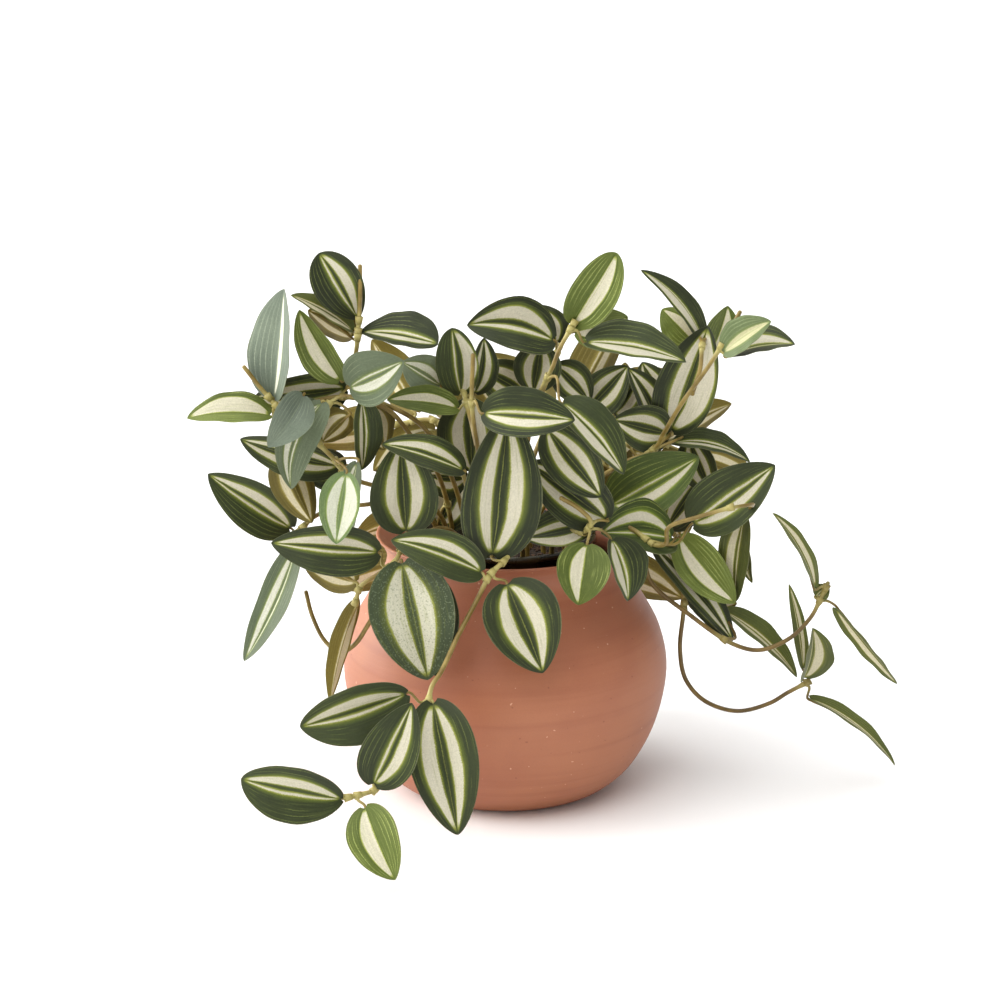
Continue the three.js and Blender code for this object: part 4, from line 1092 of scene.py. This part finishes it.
for spray in dict.fromkeys(part["spray"] for part in PLANT):
    parts = [part for part in PLANT if part["spray"] == spray]
    add_leaves(spray, parts)
    add_stems(spray, parts)
bpy.data.meshes.remove(pattern)


def spun(name, profile, steps):
    """A turned mesh: its profile, in mm as radius and height, starts and ends on the axis."""
    bm = bmesh.new()
    verts = [bm.verts.new((r * MM, 0, z * MM)) for r, z in profile]
    edges = [bm.edges.new(pair) for pair in zip(verts, verts[1:])]
    bmesh.ops.spin(
        bm, geom=verts + edges, cent=(0, 0, 0), axis=(0, 0, 1), angle=FULL_TURN, steps=steps,
        use_merge=True,
    )
    bmesh.ops.remove_doubles(bm, verts=bm.verts[:], dist=0.01 * MM)
    bmesh.ops.recalc_face_normals(bm, faces=bm.faces[:])
    for face in bm.faces:
        face.smooth = True
    mesh = bpy.data.meshes.new(name)
    bm.to_mesh(mesh)
    bm.free()
    return mesh


def clay_paint():
    """Unglazed clay: soft colour drifts, turning marks, fine grain and a few specks."""
    paint = Paint("terracotta", Roughness=0.54, Specular_IOR_Level=0.5)
    colour = paint.mix(paint.step(paint.noise(14, 3), 0.3, 0.72), "#995A3E", "#A76948")
    turning = paint.noise(26, 4, stretch=(0.25, 0.25, 9))
    colour = paint.mix(paint.step(turning, 0.45, 0.75) * 0.35, colour, "#8D4F36")
    fine = paint.noise(1500, 2)
    colour = paint.mix(0.35, colour, fine * 0.5 + 0.75, "MULTIPLY")
    pale = paint.step(paint.noise(620, 0), 0.84, 0.87)
    colour = paint.mix(pale * 0.6, colour, "#D9A98A")
    dark = paint.step(paint.noise(540, 0, stretch=(1, 1, 1.1)), 0.84, 0.87)
    colour = paint.mix(dark * 0.6, colour, "#7A4433")
    relief = paint.bump(fine, 0.00005, normal=paint.bump(turning, 0.00022))
    return paint.finish(colour, relief, fine * 0.2 + 0.44)


def cup_paint():
    """Dark glossy plastic with faint scuffs."""
    paint = Paint("dark_plastic", Roughness=0.25)
    scuffs = paint.noise(90, 4, stretch=(1, 1, 0.3))
    colour = paint.mix(paint.step(scuffs, 0.4, 0.8), "#1C190F", "#38331D")
    return paint.finish(colour, paint.bump(scuffs, 0.00008), scuffs * 0.25 + 0.12)


def mix_paint():
    """Dark potting mix."""
    paint = Paint("potting_mix", Roughness=0.95)
    crumbs = paint.noise(420, 4)
    colour = paint.mix(paint.step(crumbs, 0.35, 0.7), "#1D150F", "#3B2C20")
    return paint.finish(colour, paint.bump(crumbs, 0.0006))


def bark_paint():
    """The chips of bark in the mix."""
    paint = Paint("bark_chips", Roughness=0.9)
    grain = paint.noise(500, 3)
    colour = paint.mix(paint.step(grain, 0.3, 0.7), "#33241A", "#5A4230")
    return paint.finish(colour, paint.bump(grain, 0.0003))


# The pot: its outline is smooth, the lip is rounded over, and the foot stands on a narrow ring
outside = smooth_through([np.array(p, float) for p in POT_OUTLINE], 6, even=True, open_ends=False)
lip_curve = [(0, 1.2), (0.1, 0.8), (0.4, 0.55), (0.9, 0.45), (1.4, 0.6), (1.8, 1.0), (2.3, 1.7)]
lip = [(LIP_RADIUS - inwards, POT_HEIGHT - down) for inwards, down in lip_curve]
inner_points = [(r - POT_WALL, max(z, POT_FLOOR + 3)) for r, z in POT_OUTLINE[2:-1]]
inside = smooth_through([np.array(p, float) for p in inner_points], 5, even=True, open_ends=False)[::-1]
foot = [(0, 0.6), (POT_FOOT_RADIUS - 6, 0.6), (POT_FOOT_RADIUS - 5, 0), (POT_FOOT_RADIUS - 0.3, 0)]
pot_profile = [*foot, *outside[1:], *lip, *inside, (POT_FOOT_RADIUS + 4, POT_FLOOR), (0, POT_FLOOR)]
pot_mesh = spun("clay_pot", pot_profile, steps=144)
new_piece("clay_pot", pot_mesh, "pot", [clay_paint()])

# The cup: thin walls and a rounded rim
rim_middle = (CUP_RIM_RADIUS + CUP_TOP_RADIUS - CUP_WALL) / 2
cup_profile = [
    (0, CUP_BOTTOM), (CUP_FOOT_RADIUS - 1, CUP_BOTTOM), (CUP_FOOT_RADIUS, CUP_BOTTOM + 1),
    (CUP_TOP_RADIUS, CUP_TOP - CUP_RIM_DEPTH - 0.5), (CUP_RIM_RADIUS - 0.4, CUP_TOP - CUP_RIM_DEPTH),
    (CUP_RIM_RADIUS, CUP_TOP - CUP_RIM_DEPTH + 0.4), (CUP_RIM_RADIUS, CUP_TOP - 0.7),
    (CUP_RIM_RADIUS - 0.5, CUP_TOP - 0.15), (rim_middle, CUP_TOP),
    (CUP_TOP_RADIUS - CUP_WALL + 0.4, CUP_TOP - 0.2), (CUP_TOP_RADIUS - CUP_WALL, CUP_TOP - 0.9),
    (CUP_FOOT_RADIUS - CUP_WALL, CUP_BOTTOM + CUP_WALL), (0, CUP_BOTTOM + CUP_WALL),
]
cup_mesh = spun("inner_cup", cup_profile, steps=96)
new_piece("inner_cup", cup_mesh, "grow_cup", [cup_paint()])


def cup_radius(z):
    """The inner radius of the cup at a height."""
    share = (z - CUP_BOTTOM) / (CUP_TOP - CUP_RIM_DEPTH - CUP_BOTTOM)
    return CUP_FOOT_RADIUS + share * (CUP_TOP_RADIUS - CUP_FOOT_RADIUS) - CUP_WALL


def soil_height(r):
    return SOIL_TOP + SOIL_CROWN * (1 - (r / CUP_TOP_RADIUS) ** 2)


# The potting mix: a heaped, crumbly top, with chips of bark lying in it
SOIL_RINGS = 26
CRUMBS = (-0.5, 0.3)  # how far the top dips and rises
CHIPS = 420
CHIP_RADIUS = (0.6, 1.7)
CHIP_LIFT = (-0.4, 0.3)
CHIP_MARGIN = 2.5  # how far they stay from the cup
CHIP_BREADTH = (0.5, 1)  # as shares of the length
CHIP_HEIGHT = (0.3, 0.6)
soil_bottom = CUP_BOTTOM + CUP_WALL + TOUCH
soil_side = cup_radius(SOIL_TOP) - 2 * TOUCH
soil_profile = [
    (0, soil_bottom), (cup_radius(soil_bottom) - 2 * TOUCH, soil_bottom), (soil_side, SOIL_TOP - 1.5),
    *[(r, soil_height(r)) for r in np.linspace(soil_side - 0.8, 0, SOIL_RINGS)],
]
soil_mesh = spun("mix", soil_profile, steps=90)
for vert in soil_mesh.vertices:
    if vert.co.z > (SOIL_TOP - 1) * MM:
        vert.co.z += chance.uniform(*CRUMBS) * MM
new_piece("potting_mix", soil_mesh, "soil", [mix_paint()])

chips = bmesh.new()
for _ in range(CHIPS):
    size = chance.uniform(*CHIP_RADIUS) * MM
    r = (soil_side - CHIP_MARGIN) * math.sqrt(chance.random())
    angle = chance.uniform(0, FULL_TURN)
    height = soil_height(r) + chance.uniform(*CHIP_LIFT)
    turn = Matrix.Rotation(chance.uniform(0, math.pi), 4, "X") @ Matrix.Rotation(angle * 3, 4, "Z")
    shape = Matrix.Diagonal((1, chance.uniform(*CHIP_BREADTH), chance.uniform(*CHIP_HEIGHT), 1))
    move = Matrix.Translation((r * math.cos(angle) * MM, r * math.sin(angle) * MM, height * MM))
    bmesh.ops.create_icosphere(chips, subdivisions=1, radius=size, matrix=move @ turn @ shape)
chip_mesh = bpy.data.meshes.new("bark_chips")
chips.to_mesh(chip_mesh)
chips.free()
new_piece("bark_chips", chip_mesh, "soil", [bark_paint()])

# A plain pale floor and soft studio light
floor_paint = Paint("floor", Roughness=0.6)
floor_paint.finish(floor_paint.mix(floor_paint.noise(6, 1), "#FAFAFA", "#FCFCFC"))
floor_bm = bmesh.new()
bmesh.ops.create_grid(floor_bm, x_segments=1, y_segments=1, size=12)
floor_mesh = bpy.data.meshes.new("floor")
floor_bm.to_mesh(floor_mesh)
floor_bm.free()
floor_mesh.materials.append(floor_paint.material)
floor = bpy.data.objects.new("floor", floor_mesh)
bpy.context.scene.collection.objects.link(floor)


def sun_light(name, azimuth, rise, spread, strength, colour):
    """A soft distant light, azimuth degrees to the right of the viewer and rise degrees up."""
    data = bpy.data.lights.new(name, "SUN")
    data.energy = strength
    data.angle = math.radians(spread)
    data.color = colour
    light = bpy.data.objects.new(name, data)
    turn, up = math.radians(azimuth), math.radians(rise)
    toward = Vector((math.sin(turn) * math.cos(up), -math.cos(turn) * math.cos(up), math.sin(up)))
    light.matrix_world = toward.to_track_quat("Z", "Y").to_matrix().to_4x4()
    bpy.context.scene.collection.objects.link(light)


sun_light("key", azimuth=-62, rise=46, spread=80, strength=2.3, colour=(1.0, 0.985, 0.96))
sun_light("overhead", azimuth=-20, rise=80, spread=70, strength=1.4, colour=(1.0, 1.0, 1.0))
sun_light("rim", azimuth=-108, rise=12, spread=50, strength=4.0, colour=(1.0, 0.99, 0.97))

world = bpy.data.worlds.new("studio")
world.use_nodes = True
world.node_tree.nodes["Background"].inputs["Color"].default_value = (1, 1, 1, 1)
world.node_tree.nodes["Background"].inputs["Strength"].default_value = 0.5
bpy.context.scene.world = world
bpy.context.scene.view_settings.view_transform = "Standard"
